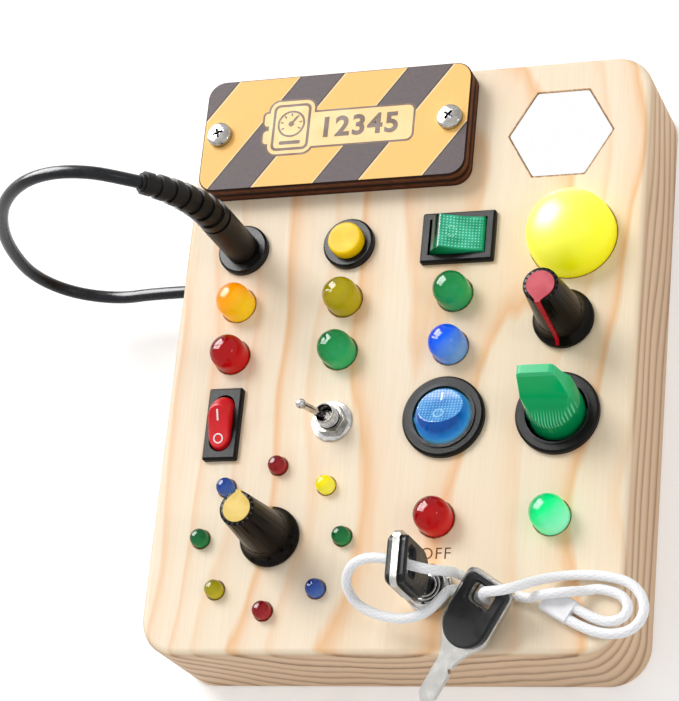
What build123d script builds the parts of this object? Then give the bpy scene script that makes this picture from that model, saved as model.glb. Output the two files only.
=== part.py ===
"""Wooden busy board: a hand-held pine case carrying switches, lamps, knobs, a key switch and a plug lead.

The case lies on its back: X runs across it, Y up its face and Z out of the face. Z = 0 is the
underside of the rim and FACE is the height of the face. Every control is placed by the column and
row that it stands in, and everything that fits a hole takes its size from that hole or the other
way round. Lengths are in millimetres.
"""

from build123d import *
from math import cos, pi, radians, sin, sqrt, tan
import os

# ---------------------------------------------------------------- case
BOARD_W = 134.0          # across
BOARD_H = 171.0          # up the face
BOARD_T = 32.0           # underside to face
CORNER_R = 11.0
FACE_ROUND = 2.0
BACK_ROUND = 1.0
WALL = 6.0               # wood left at the sides
SKIN = 3.5               # wood left behind the face
CAVITY_R = 6.0
PANEL_T = 3.0            # plywood back panel
PANEL_RIM = 3.5          # wood left round the panel
PANEL_RECESS = 0.2
PANEL_GAP = 0.2
SEAT_GAP = 0.2           # round a body pushed into its cut-out

FACE = BOARD_T
UNDER = FACE - SKIN      # underside of the face skin

# ---------------------------------------------------------------- sign
SIGN_W = 80.0
SIGN_H = 35.0
SIGN_T = 7.0
SIGN_R = 5.0
SIGN_EDGE = 0.4
SIGN_MARGIN = (4.0, 1.5)  # from the left and the upper edge of the board
SIGN_AT = (SIGN_MARGIN[0] + (SIGN_W - BOARD_W) / 2, (BOARD_H - SIGN_H) / 2 - SIGN_MARGIN[1])
SIGN_SCREW_INSET = 5.3   # screws from the ends of the sign
SIGN_SCREW_X = SIGN_W / 2 - SIGN_SCREW_INSET
SCREW_HEAD_R = 3.7
SCREW_HEAD_H = 2.4
SCREW_R = 1.75
SCREW_LENGTH = 10.0
SCREW_PLAY = 0.45

# ---------------------------------------------------------------- control grid
# The outer columns keep their distance from the edges; the inner two stand at thirds between them,
# each a little to the right of its third. The rows share out the height below the sign, and the
# steps keep their proportions on a taller or lower board.
COLUMN_MARGIN = (18.1, 20.6)
COLUMN_OVER = (0.1 / 3, 0.8 / 3)
ROW_STEPS = (16.4, 16.6, 15.7, 20.4, 28.5, 19.4, 17.5)
COLUMN_1 = COLUMN_MARGIN[0] - BOARD_W / 2
COLUMN_4 = BOARD_W / 2 - COLUMN_MARGIN[1]
COLUMN_2 = (2 * COLUMN_1 + COLUMN_4) / 3 + COLUMN_OVER[0]
COLUMN_3 = (COLUMN_1 + 2 * COLUMN_4) / 3 + COLUMN_OVER[1]
sign_foot = SIGN_AT[1] - SIGN_H / 2
row_unit = (sign_foot + BOARD_H / 2) / sum(ROW_STEPS)
ROW_TOP, ROW_LAMP_1, ROW_LAMP_2, ROW_SWITCH, ROW_LOW, LOCK_Y = (
    sign_foot - row_unit * sum(ROW_STEPS[:i + 1]) for i in range(len(ROW_STEPS) - 1))
LAMP_RING_SHIFT = (1.6, 15.0)  # from the middle of the first two columns, and from the lock's row
LAMP_RING = ((COLUMN_1 + COLUMN_2) / 2 + LAMP_RING_SHIFT[0], LOCK_Y + LAMP_RING_SHIFT[1])
LAMP_RING_R = 20.5
LAMP_RING_COUNT = 8

# ---------------------------------------------------------------- mirror and warning lamp
MIRROR_SHIFT = (-0.2, -22.5)   # from the middle between sign and right edge, and from the upper edge
MIRROR_AT = ((SIGN_AT[0] + SIGN_W / 2 + BOARD_W / 2) / 2 + MIRROR_SHIFT[0], BOARD_H / 2 + MIRROR_SHIFT[1])
MIRROR_R = 14.7          # to its corners
MIRROR_T = 2.0
MIRROR_RECESS = 0.2
MIRROR_CORNER = 1.0
MIRROR_GAP = 0.25
DOME_SHIFT = (0.8, -1.3)  # from the last column and the top row
DOME_AT = (COLUMN_4 + DOME_SHIFT[0], ROW_TOP + DOME_SHIFT[1])
RED_KNOB_UP = 1.1        # above the middle between dome and paddle
RED_KNOB_Y = (DOME_AT[1] + ROW_SWITCH) / 2 + RED_KNOB_UP
DOME_R = 12.2
DOME_RISE = 2.0          # straight wall above the face
DOME_WALL = 1.5
DOME_FLANGE_R = 13.6
DOME_FLANGE_T = 1.5

# ---------------------------------------------------------------- lamps
LAMP_R = 5.0
LAMP_RISE = 3.8          # straight wall above the face
LAMP_FLANGE_R = 5.7
LAMP_FLANGE_T = 1.5
SMALL_LAMP_R = 2.5
SMALL_LAMP_RISE = 1.6
SMALL_LAMP_FLANGE_R = 2.9
SMALL_LAMP_FLANGE_T = 1.0
LAMP_GAP = 0.1
LEG = 0.5                # square wire
LEG_PITCH = 2.54
LAMP_LEG_LENGTH = 9.0
SMALL_LEG_LENGTH = 4.0
LEG_HOLE_R = 0.5

# ---------------------------------------------------------------- circuit boards and battery box
PCB_T = 1.6
PCB_MARGIN = 1.0         # left and right of the ring of lamps
PCB_W = 2 * (LAMP_RING_R + SMALL_LAMP_R + PCB_MARGIN)
PCB_H = 2 * (LAMP_RING_R + SMALL_LAMP_R)
PCB_SHIFT = -0.6         # ring board centre below the ring's centre
PCB_WINDOW_GAP = 0.8     # round the switch behind the ring
DOME_PCB_GAP = 1.0       # inside the dome's flange
DOME_PCB_R = DOME_FLANGE_R - DOME_PCB_GAP
CHIP = (6.0, 4.0, 1.6)
CELL_R = 7.1
CELL_LENGTH = 49.0
CELL_TIP_R = 2.7
CELL_TIP = 1.4
CELL_PITCH = 15.0
BOX_WALL = 1.2
BOX_FLOOR = 1.5
BOX_DEPTH = 14.5
CELL_CONTACTS = 1.6      # room for the springs at the cells' ends
BOX_CELL_SPACE = CELL_LENGTH + CELL_TIP + CELL_CONTACTS
BOX_DROP = 6.5           # below the middle of the sign
BOX_AT = (SIGN_AT[0], SIGN_AT[1] - BOX_DROP)

# ---------------------------------------------------------------- panel threads and nuts
THREAD_R = 6.0           # M12 barrels of the jack, the button and the lock
THREAD_GAP = 0.1
NUT_ACROSS = 16.0
NUT_T = 2.5
COLLAR_R = 7.4
COLLAR_H = 2.2
COLLAR_EDGE = 0.6

# ---------------------------------------------------------------- plug, jack and lead
JACK_BODY = 14.0         # below the face
JACK_BORE_R = 2.85
JACK_BORE = 10.5
JACK_PIN_R = 1.0
PLUG_R = 2.75
PLUG_LENGTH = 9.5
PLUG_BORE_R = 1.1
HANDLE_R = 4.7
HANDLE_LENGTH = 20.0
RELIEF_TIP_R = 3.1
RELIEF_RIBS = 7
RELIEF_RIB = 0.55        # depth of the cuts between ribs
RELIEF_BEND_R = 42.9
RELIEF_TURN = 40.7       # degrees
RELIEF_RIB_T = 2.6
RELIEF_HEADING = 188.0   # degrees about Z
LEAD_R = 1.8
LEAD_STEP = 5.6
GLAND_DROP = 4.6         # below the top row
GLAND_Y = ROW_TOP - GLAND_DROP
GLAND_DEPTH = 15.0       # below the face
GLAND_R = 5.0
GLAND_RISE = 3.5
GLAND_STEM_R = 3.2
GLAND_EDGE = 1.0
GLAND_LIP_R = 3.8
GLAND_LIP_T = 1.5

# ---------------------------------------------------------------- push button
BUTTON_BODY = 16.0
CAP_R = 5.0
CAP_GAP = 0.1
CAP_TOP = 5.2            # above the face, released
CAP_SKIRT = 6.2
CAP_EDGE = 0.8
STEM_R = 1.5
STEM_GAP = 0.1
BUTTON_FLOOR = 10.0      # below the face
BUTTON_FLOOR_T = 1.5
CLIP_R = 2.0
CLIP_T = 1.2
CLIP_GAP = 0.3
BUTTON_TRAVEL = 2.2
SPRING_R = 2.9
SPRING_WIRE = 0.5
SPRING_TURNS = 4
SPRING_SEAT = 0.05

# ---------------------------------------------------------------- rockers
ROCKER_TILT = 20.0       # either side of level
PIVOT_BELOW = 0.3        # pivot under the face
PIVOT_R = 1.3
PIVOT_GAP = 0.05
PIVOT_REACH = 0.9
KEY_R = 8.0              # ends of a key, about its pivot
KEY_END = 43.0           # degrees up to the ends' upper corner
KEY_FOOT = -24.0         # degrees down to their lower corner
KEY_DIP = 0.5            # hollow of the finger surface
KEY_GAP = 0.3
KEY_EDGE = 0.5
BEZEL_H = 2.0
BEZEL_EDGE = 0.6
ROCKER_LENGTH = 21.0
RECT_W = 15.0
RECT_KEY_W = 10.2
SLIM_W = 10.0
SLIM_KEY_W = 6.0
ROUND_R = 11.45
ROUND_RIM_R = 9.2
ROUND_RIM_H = 0.4
ROUND_BODY_R = 10.0
ROCKER_BODY = 14.0       # below the face
BODY_INSET = 1.1         # bezel overhang on the wood
KEY_WELL = 6.4           # depth of the well below the face
WEDGE = 0.7
WEDGE_H = 4.0
WEDGE_W = 4.0
BLADE = (0.8, 4.8, 8.0)
BLADE_PITCH = 9.0
LEVER_TILT = 7.5
LEVER_TIP = 24.8         # tip above the pivot
LEVER_TIP_W = 9.6
LEVER_TIP_T = 2.4
LEVER_TIP_R = 1.5
LEVER_SHOULDER = 9.4     # top of the lever's foot above the pivot
LEVER_BROW = 7.0         # half depth of the bill at the shoulder
LEVER_WAIST = 3.4
LEVER_GAP = 0.6
LEVER_TAPER = 0.2

# ---------------------------------------------------------------- toggle switch
TOGGLE_TILT = 20.0
TOGGLE_PIVOT = 3.6       # above the face
TOGGLE_BALL_R = 2.2
TOGGLE_LEVER_R = 1.0
TOGGLE_TIP = 11.3        # centre of the tip ball above the pivot
TOGGLE_TIP_R = 1.4
TOGGLE_TAIL = 3.4
TOGGLE_TAIL_R = 0.7
BUSH_R = 3.0
BUSH_BORE_R = 2.25
BUSH_SHOULDER = 4.1      # top of the ball's bore above the face
BUSH_NECK_R = 2.0
BUSH_NECK = 5.2
BUSH_MOUTH_R = 2.7
BUSH_TOP = 7.2
BUSH_GAP = 0.1
TOGGLE_BODY = (13.2, 8.0, 9.6)
TOGGLE_CASE_T = 0.4
TOGGLE_CHAMFER = 0.5
TOGGLE_PIN = (1.2, 0.6, 4.0)
TOGGLE_PIN_PITCH = 4.7
WASHER_R = 5.8
WASHER_T = 0.7
SMALL_NUT_ACROSS = 8.0
SMALL_NUT_T = 2.2

# ---------------------------------------------------------------- knobs and what they turn
SHAFT_R = 3.0
SHAFT_FLAT = 1.5         # from the axis to the flat of the D
SHAFT_TOP = 16.0
SHAFT_SEAT = 3.0         # shaft inside the body below the skin
FLAT_FOOT = 5.0
SHAFT_GAP = 0.1
SHAFT_BUSH_R = 3.5
SHAFT_BUSH_TOP = 4.6
SHAFT_NUT_ACROSS = 10.0
SHAFT_NUT_T = 2.2
POT_R = 8.2
POT_DEPTH = 9.0
ROTARY_R = 12.4
ROTARY_DEPTH = 9.5
ROTARY_TAGS_R = 9.0
TAG = (1.2, 0.6, 5.0)
TAG_PITCH = 5.0
KNOB_R = 8.4
KNOB_LIFT = 0.6          # clear of the face
KNOB_FLARE = 1.6
KNOB_NECK_R = 6.3
KNOB_NECK = 6.6
KNOB_WAIST = (6.85, 3.7)  # middle of the hollow curve of the skirt
KNOB_TOP_R = 4.8
RED_KNOB_TOP = 24.0
YELLOW_KNOB_TOP = 25.0
KNOB_EDGE = 0.4
KNOB_WELL_R = 6.1
KNOB_WELL = 3.0          # clear of the nut
KNOB_THROAT_R = 4.0
KNOB_WELL_TOP = 5.2      # clear of the bush
KNOB_FLUTES = 18
FLUTE_R = 0.45
POINTER_CAP = 0.6
POINTER_NOSE = 5.2       # nose of the pointer from the axis
POINTER_HEAD_R = 3.8
POINTER_STRIP_W = 1.5
POINTER_STRIP_T = 0.9
POINTER_PROUD = 0.25
RED_POINTER_AT = -96.0   # degrees about Z
YELLOW_POINTER_AT = 90.0

# ---------------------------------------------------------------- key switch and keys
LOCK_FLANGE_R = 6.5
LOCK_FLANGE_T = 2.5
LOCK_FACE_R = 5.5
LOCK_TOP = 4.3
LOCK_BODY = 22.0         # below the face
LOCK_EDGE = 0.3
CORE_R = 3.75
CORE_DEPTH = 16.5
CORE_LIP_R = 4.5
CORE_LIP = 1.5
CORE_GAP = 0.1
KEYWAY_GAP = 0.1
KEYWAY_END = 0.6         # below the tip of the blade
BLADE_W = 4.8
BLADE_T = 1.8
BLADE_LENGTH = 12.5
BLADE_POINT = 2.2
NOTCH_DEPTH = 0.8
NOTCH_COUNT = 4
NOTCH_PITCH = 2.4
HEAD_W = 13.0
HEAD_T = 5.5
HEAD_TOP = 4.5           # far end of the head from its slot
HEAD_LENGTH = 19.0
HEAD_CORNER = 2.2
HEAD_EDGE = 0.6
KEY_SLOT = (7.5, 5.5)
KEY_SLOT_R = 1.6
KEY_RIM = 0.9
KEY_SHOULDER = 4.5       # throat between the head and the blade
THROAT_W = 7.2
BOSS_R = 1.25
BOSS_PITCH = 5.2
KEY_GAP_UP = 0.3         # under the throat of the key in the lock
KEY_2_AT = (32.1, -72.2, 7.0)
KEY_2_HEADING = 56.5     # degrees from X to the direction of its far end
KEY_2_DIP = 15.0         # nose down
CORD_R = 1.5
CORD_LIFT = 0.3
SLEEVE = (8.0, 6.6, 3.2)
SLEEVE_EDGE = 0.8
SLEEVE_AT = (50.5, -73.2)
SLEEVE_HEADING = -31.0
STRAND_PITCH = 3.4
STRAND_LEAD = 7.5
CORD_ROUTE = [           # heights above the face
    (69.5, -80.6, 1.8), (73.6, -74.3, 1.8), (69.9, -67.2, 1.8), (60.5, -64.9, 1.8), (50.5, -65.1, 1.8),
    (44.8, -67.6, 5.7), (41.2, -70.9, 11.0), (37.8, -72.4, 12.8), (32.4, -72.4, 12.2),
    (32.2, -72.3, 1.8), (25.6, -69.4, 1.8), (22.2, -69.1, 5.3), (20.9, -73.2, 8.6), (17.4, -77.3, 9.4),
    (11.6, -78.6, 8.8), (4.4, -77.4, 8.4), (-1.8, -74.6, 10.0), (-3.3, -70.4, 15.0), (0.8, -67.0, 21.6),
    (8.3, -66.0, 23.4), (20.7, -69.8, 23.6), (23.6, -67.9, 16.0), (23.6, -65.6, 8.0), (25.4, -65.5, 1.8),
    (31.0, -67.4, 1.8), (37.5, -69.8, 1.8), (42.2, -71.3, 1.8), (46.2, -71.4, 5.8), (53.5, -70.6, 5.7),
    (57.5, -69.3, 1.9), (60.8, -68.6, 1.85), (67.0, -70.4, 1.8), (68.9, -73.9, 1.8), (67.0, -77.0, 1.8)]


# ---------------------------------------------------------------- shared shapes
def upright(x: float, y: float, z: float = FACE) -> Plane:
    """Sketch plane through the upright line at (x, y): local x is +X and local y is +Z."""
    return Plane(origin=(x, y, z), x_dir=(1, 0, 0), z_dir=(0, -1, 0))


def line_up(x: float, y: float) -> Axis:
    """The upright line at (x, y)."""
    return Axis((x, y, 0), (0, 0, 1))


def turned(outline: list, plane: Plane) -> Part:
    """A turned piece: a closed outline of (radius, height) points spun about the plane's local y."""
    with BuildPart() as piece:
        with BuildSketch(plane):
            with BuildLine():
                Polyline(*outline, close=True)
            make_face()
        revolve(axis=Axis(plane.origin, plane.y_dir))
    return piece.part


def heading_plane(x: float, y: float, z: float, heading: float, lean: float = 0.0) -> Plane:
    """Side view of a piece that faces `heading` degrees about Z: local x points there, local y up.

    With a lean the plane is turned in itself, so that local x rises by that many degrees.
    """
    ahead = Vector(cos(radians(heading)), sin(radians(heading)), 0)
    side = ahead.cross(Vector(0, 0, 1))
    risen = ahead * cos(radians(lean)) + Vector(0, 0, sin(radians(lean)))
    return Plane(origin=(x, y, z), x_dir=risen, z_dir=side)


def dome_outline(lens_r: float, rise: float, flange_r: float, flange_t: float) -> None:
    """Half outline of a lens that stands in a hole, flanged under the skin and domed above it."""
    Polyline((0, -SKIN - flange_t), (flange_r, -SKIN - flange_t), (flange_r, -SKIN),
             (lens_r, -SKIN), (lens_r, rise))
    CenterArc((0, rise), lens_r, 0, 90)
    Line((0, rise + lens_r), (0, -SKIN - flange_t))


def lamp(lens_r: float, rise: float, flange_r: float, flange_t: float, leg_length: float) -> Part:
    """A lamp with its two wire legs, standing at the origin with z = 0 at the face."""
    with BuildPart() as piece:
        with BuildSketch(upright(0, 0, 0)):
            with BuildLine():
                dome_outline(lens_r, rise, flange_r, flange_t)
            make_face()
        revolve(axis=line_up(0, 0))
        with BuildSketch(Plane.XY.offset(-SKIN - flange_t)):
            with GridLocations(LEG_PITCH, 0, 2, 1):
                Rectangle(LEG, LEG)
        extrude(amount=-leg_length)
    return piece.part


def save(builder: BuildPart, name: str) -> None:
    """Label a finished piece and write it to its own file."""
    builder.part.label = name
    export_step(builder.part, f"parts/{name}.step")


os.makedirs("parts", exist_ok=True)

ring_lamp_places = [
    (LAMP_RING[0] + LAMP_RING_R * sin(radians(i * 360 / LAMP_RING_COUNT)),
     LAMP_RING[1] + LAMP_RING_R * cos(radians(i * 360 / LAMP_RING_COUNT)))
    for i in range(LAMP_RING_COUNT)]

# ---------------------------------------------------------------- case
rect_body = (ROCKER_LENGTH - 2 * BODY_INSET, RECT_W - 2 * BODY_INSET)
slim_body = (SLIM_W - 2 * BODY_INSET + 0.8, ROCKER_LENGTH - 2 * BODY_INSET)
lamp_places = [(COLUMN_1, ROW_LAMP_1), (COLUMN_1, ROW_LAMP_2), (COLUMN_2, ROW_LAMP_1),
               (COLUMN_2, ROW_LAMP_2), (COLUMN_3, ROW_LAMP_1), (COLUMN_3, ROW_LAMP_2),
               (COLUMN_3, ROW_LOW), (COLUMN_4, ROW_LOW)]
gland_z = FACE - GLAND_DEPTH
panel_bed = PANEL_RECESS + PANEL_T

with BuildPart() as body_block:
    with BuildSketch():
        RectangleRounded(BOARD_W, BOARD_H, CORNER_R)
    extrude(amount=BOARD_T)
    fillet(body_block.faces().sort_by(Axis.Z)[-1].edges(), FACE_ROUND)
    fillet(body_block.faces().sort_by(Axis.Z)[0].edges(), BACK_ROUND)
    with BuildSketch():
        RectangleRounded(BOARD_W - 2 * WALL, BOARD_H - 2 * WALL, CAVITY_R)
    extrude(amount=UNDER, mode=Mode.SUBTRACT)
    with BuildSketch():
        RectangleRounded(BOARD_W - 2 * PANEL_RIM, BOARD_H - 2 * PANEL_RIM, CORNER_R - PANEL_RIM)
    extrude(amount=panel_bed, mode=Mode.SUBTRACT)
    with BuildSketch(Plane.XY.offset(UNDER)):
        with Locations((COLUMN_1, ROW_TOP), (COLUMN_2, ROW_TOP), (COLUMN_3, LOCK_Y)):
            Circle(THREAD_R + THREAD_GAP)
        with Locations(*lamp_places):
            Circle(LAMP_R + LAMP_GAP)
        with Locations(*ring_lamp_places):
            Circle(SMALL_LAMP_R + LAMP_GAP)
        with Locations(DOME_AT):
            Circle(DOME_R + LAMP_GAP)
        with Locations((COLUMN_3, ROW_TOP)):
            Rectangle(rect_body[0] + 2 * SEAT_GAP, rect_body[1] + 2 * SEAT_GAP)
        with Locations((COLUMN_1, ROW_SWITCH)):
            Rectangle(slim_body[0] + 2 * SEAT_GAP, slim_body[1] + 2 * SEAT_GAP)
        with Locations((COLUMN_3, ROW_SWITCH), (COLUMN_4, ROW_SWITCH)):
            Circle(ROUND_BODY_R + SEAT_GAP)
        with Locations((COLUMN_2, ROW_SWITCH)):
            Circle(BUSH_R + BUSH_GAP)
        with Locations((COLUMN_4, RED_KNOB_Y), LAMP_RING):
            Circle(SHAFT_BUSH_R + BUSH_GAP)
        with Locations(SIGN_AT):
            with GridLocations(2 * SIGN_SCREW_X, 0, 2, 1):
                Circle(SCREW_R)
    extrude(amount=SKIN, mode=Mode.SUBTRACT)
    with BuildSketch(Plane.XY.offset(FACE - MIRROR_T - MIRROR_RECESS)):
        with Locations(MIRROR_AT):
            RegularPolygon(MIRROR_R + MIRROR_GAP, 6)
    extrude(amount=MIRROR_T + MIRROR_RECESS, mode=Mode.SUBTRACT)
    with BuildSketch(Plane(origin=(-BOARD_W / 2, GLAND_Y, gland_z), x_dir=(0, 1, 0), z_dir=(1, 0, 0))):
        Circle(GLAND_STEM_R)
    extrude(amount=WALL, mode=Mode.SUBTRACT)
save(body_block, "body_block")

with BuildPart() as back_panel:
    with BuildSketch(Plane.XY.offset(PANEL_RECESS)):
        RectangleRounded(BOARD_W - 2 * PANEL_RIM - 2 * PANEL_GAP, BOARD_H - 2 * PANEL_RIM - 2 * PANEL_GAP,
                         CORNER_R - PANEL_RIM - PANEL_GAP)
    extrude(amount=PANEL_T)
save(back_panel, "back_panel")

with BuildPart() as hex_mirror:
    with BuildSketch(Plane.XY.offset(FACE - MIRROR_T - MIRROR_RECESS)) as mirror_outline:
        with Locations(MIRROR_AT):
            RegularPolygon(MIRROR_R, 6)
        fillet(mirror_outline.vertices(), MIRROR_CORNER)
    extrude(amount=MIRROR_T)
save(hex_mirror, "hex_mirror")

# ---------------------------------------------------------------- sign
with BuildPart() as sign_plate:
    with BuildSketch(Plane.XY.offset(FACE)):
        with Locations(SIGN_AT):
            RectangleRounded(SIGN_W, SIGN_H, SIGN_R)
            with GridLocations(2 * SIGN_SCREW_X, 0, 2, 1):
                Circle(SCREW_R + SCREW_PLAY, mode=Mode.SUBTRACT)
    extrude(amount=SIGN_T)
    chamfer(sign_plate.faces().sort_by(Axis.Z)[-1].outer_wire().edges(), SIGN_EDGE)
save(sign_plate, "sign_plate")

screw_crown = SCREW_HEAD_H * 0.55
with BuildPart() as sign_screw:
    with BuildSketch(upright(0, 0, 0)):
        with BuildLine():
            Polyline((0, -SCREW_LENGTH), (SCREW_R * 0.4, -SCREW_LENGTH), (SCREW_R, -SCREW_LENGTH + SCREW_R),
                     (SCREW_R, 0), (SCREW_HEAD_R, 0), (SCREW_HEAD_R, screw_crown))
            TangentArc((0, SCREW_HEAD_H), (SCREW_HEAD_R, screw_crown), tangent=(1, 0))
            Line((0, SCREW_HEAD_H), (0, -SCREW_LENGTH))
        make_face()
    revolve(axis=line_up(0, 0))

with BuildPart() as sign_screws:
    with Locations(Plane(origin=(*SIGN_AT, FACE + SIGN_T))):
        with GridLocations(2 * SIGN_SCREW_X, 0, 2, 1):
            add(sign_screw.part)
save(sign_screws, "sign_screws")

# ---------------------------------------------------------------- lamps
big_lamp = lamp(LAMP_R, LAMP_RISE, LAMP_FLANGE_R, LAMP_FLANGE_T, LAMP_LEG_LENGTH)
small_lamp = lamp(SMALL_LAMP_R, SMALL_LAMP_RISE, SMALL_LAMP_FLANGE_R, SMALL_LAMP_FLANGE_T,
                  SMALL_LEG_LENGTH)
big_lamp_nodes = {
    "led_amber": [(COLUMN_1, ROW_LAMP_1)],
    "led_olive": [(COLUMN_2, ROW_LAMP_1)],
    "leds_red": [(COLUMN_1, ROW_LAMP_2), (COLUMN_3, ROW_LOW)],
    "leds_green": [(COLUMN_2, ROW_LAMP_2), (COLUMN_3, ROW_LAMP_1)],
    "led_blue": [(COLUMN_3, ROW_LAMP_2)],
    "led_bright_green": [(COLUMN_4, ROW_LOW)],
}
small_lamp_colours = ["red", "yellow", "green", "blue"]
lamp_nodes = {}
for name, places in big_lamp_nodes.items():
    with BuildPart() as lamp_nodes[name]:
        with Locations(*[(x, y, FACE) for x, y in places]):
            add(big_lamp)
    save(lamp_nodes[name], name)
for i, colour in enumerate(small_lamp_colours):
    name = f"small_leds_{colour}"
    with BuildPart() as lamp_nodes[name]:
        with Locations(*[(x, y, FACE) for x, y in ring_lamp_places[i::len(small_lamp_colours)]]):
            add(small_lamp)
    save(lamp_nodes[name], name)

with BuildPart() as dome_lens:
    with BuildSketch(upright(*DOME_AT)):
        with BuildLine():
            dome_outline(DOME_R, DOME_RISE, DOME_FLANGE_R, DOME_FLANGE_T)
        make_face()
        with BuildLine():
            Polyline((0, DOME_RISE + DOME_R - DOME_WALL), (0, -SKIN - DOME_FLANGE_T),
                     (DOME_R - DOME_WALL, -SKIN - DOME_FLANGE_T), (DOME_R - DOME_WALL, DOME_RISE))
            CenterArc((0, DOME_RISE), DOME_R - DOME_WALL, 0, 90)
        make_face(mode=Mode.SUBTRACT)
    revolve(axis=line_up(*DOME_AT))
save(dome_lens, "dome_lens")

# ---------------------------------------------------------------- circuit boards
pcb_top = UNDER - SMALL_LAMP_FLANGE_T
dome_pcb_top = UNDER - DOME_FLANGE_T
pcb_at = (LAMP_RING[0], LAMP_RING[1] + PCB_SHIFT)
with BuildPart() as circuit_boards:
    with BuildSketch(Plane.XY.offset(pcb_top)):
        with Locations(pcb_at):
            Rectangle(PCB_W, PCB_H)
        with Locations(LAMP_RING):
            Circle(ROTARY_R + PCB_WINDOW_GAP, mode=Mode.SUBTRACT)
        with Locations(*ring_lamp_places):
            with GridLocations(LEG_PITCH, 0, 2, 1):
                Circle(LEG_HOLE_R, mode=Mode.SUBTRACT)
    extrude(amount=-PCB_T)
    with BuildSketch(Plane.XY.offset(dome_pcb_top)):
        with Locations(DOME_AT):
            Circle(DOME_PCB_R)
    extrude(amount=-PCB_T)
    with BuildSketch(Plane.XY.offset(dome_pcb_top)):
        with Locations(DOME_AT):
            Rectangle(CHIP[0], CHIP[1])
    extrude(amount=CHIP[2])
    with BuildSketch(Plane.XY.offset(pcb_top - PCB_T)):
        with Locations((pcb_at[0] + PCB_W / 2 - CHIP[1], pcb_at[1] - PCB_H / 2 + CHIP[1])):
            Rectangle(CHIP[0], CHIP[1])
    extrude(amount=-CHIP[2])
save(circuit_boards, "circuit_boards")

# ---------------------------------------------------------------- battery box
box_floor = UNDER - BOX_FLOOR
box_length = BOX_CELL_SPACE + 2 * BOX_WALL
box_width = 2 * CELL_PITCH + 2 * BOX_WALL
cell_z = box_floor - CELL_R
with BuildPart() as battery_holder:
    with BuildSketch(Plane.XY.offset(UNDER)):
        with Locations(BOX_AT):
            RectangleRounded(box_length, box_width, BOX_WALL)
    extrude(amount=-BOX_DEPTH - BOX_FLOOR)
    with BuildSketch(Plane.XY.offset(box_floor)):
        with Locations(BOX_AT):
            Rectangle(BOX_CELL_SPACE, 2 * CELL_PITCH)
    extrude(amount=-BOX_DEPTH, mode=Mode.SUBTRACT)
    with BuildSketch(Plane.XY.offset(box_floor)):
        with Locations(BOX_AT):
            Rectangle(BOX_CELL_SPACE, BOX_WALL / 2)
    extrude(amount=-CELL_R / 2)
save(battery_holder, "battery_holder")

cell_start = -(CELL_LENGTH + CELL_TIP) / 2
with BuildPart() as batteries:
    for side, turn in ((-0.5, 0), (0.5, 180)):
        bed = Plane(origin=(BOX_AT[0], BOX_AT[1] + side * CELL_PITCH, cell_z),
                    x_dir=(cos(radians(turn)), sin(radians(turn)), 0), z_dir=(0, 0, 1))
        with BuildSketch(bed):
            with BuildLine():
                Polyline((cell_start, 0), (cell_start, CELL_R), (cell_start + CELL_LENGTH, CELL_R),
                         (cell_start + CELL_LENGTH, CELL_TIP_R), (-cell_start, CELL_TIP_R),
                         (-cell_start, 0), close=True)
            make_face()
        revolve(axis=Axis(bed.origin, bed.x_dir))
save(batteries, "batteries")

# ---------------------------------------------------------------- panel nuts
with BuildPart() as panel_nuts:
    with BuildSketch(Plane.XY.offset(UNDER)):
        with Locations((COLUMN_1, ROW_TOP), (COLUMN_2, ROW_TOP), (COLUMN_3, LOCK_Y)):
            RegularPolygon(NUT_ACROSS / 2, 6, major_radius=False)
            Circle(THREAD_R, mode=Mode.SUBTRACT)
    extrude(amount=-NUT_T)
save(panel_nuts, "panel_nuts")

with BuildPart() as shaft_nuts:
    with BuildSketch(Plane.XY.offset(FACE)):
        with Locations((COLUMN_4, RED_KNOB_Y), LAMP_RING):
            RegularPolygon(SHAFT_NUT_ACROSS / 2, 6, major_radius=False)
            Circle(SHAFT_BUSH_R, mode=Mode.SUBTRACT)
    extrude(amount=SHAFT_NUT_T)
save(shaft_nuts, "shaft_nuts")

# ---------------------------------------------------------------- jack and plug
jack_at = (COLUMN_1, ROW_TOP)
with BuildPart() as jack_socket:
    add(turned([(0, -JACK_BODY), (THREAD_R, -JACK_BODY), (THREAD_R, 0), (COLLAR_R, 0),
                (COLLAR_R, COLLAR_H - COLLAR_EDGE), (COLLAR_R - COLLAR_EDGE, COLLAR_H),
                (JACK_BORE_R, COLLAR_H), (JACK_BORE_R, COLLAR_H - JACK_BORE),
                (JACK_PIN_R, COLLAR_H - JACK_BORE), (JACK_PIN_R, -COLLAR_H), (0, -COLLAR_H)],
               upright(*jack_at)))
save(jack_socket, "jack_socket")

with BuildPart() as plug_barrel:
    add(turned([(PLUG_BORE_R, 0), (PLUG_R, 0), (PLUG_R, -PLUG_LENGTH), (PLUG_BORE_R, -PLUG_LENGTH)],
               upright(*jack_at, FACE + COLLAR_H)))
save(plug_barrel, "plug_barrel")

relief_angle = radians(RELIEF_TURN)
relief_heading = Vector(cos(radians(RELIEF_HEADING)), sin(radians(RELIEF_HEADING)), 0)
relief_base = Vector(*jack_at, FACE + COLLAR_H + HANDLE_LENGTH)


def relief_plane(share: float) -> Plane:
    """Plane across the strain relief at a share of its bend; its normal points to the lead."""
    angle = relief_angle * share
    reach = RELIEF_BEND_R * (1 - cos(angle))
    centre = relief_base + relief_heading * reach + Vector(0, 0, RELIEF_BEND_R * sin(angle))
    along = relief_heading * sin(angle) + Vector(0, 0, cos(angle))
    return Plane(origin=centre, x_dir=relief_heading.cross(Vector(0, 0, 1)), z_dir=along)


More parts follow.
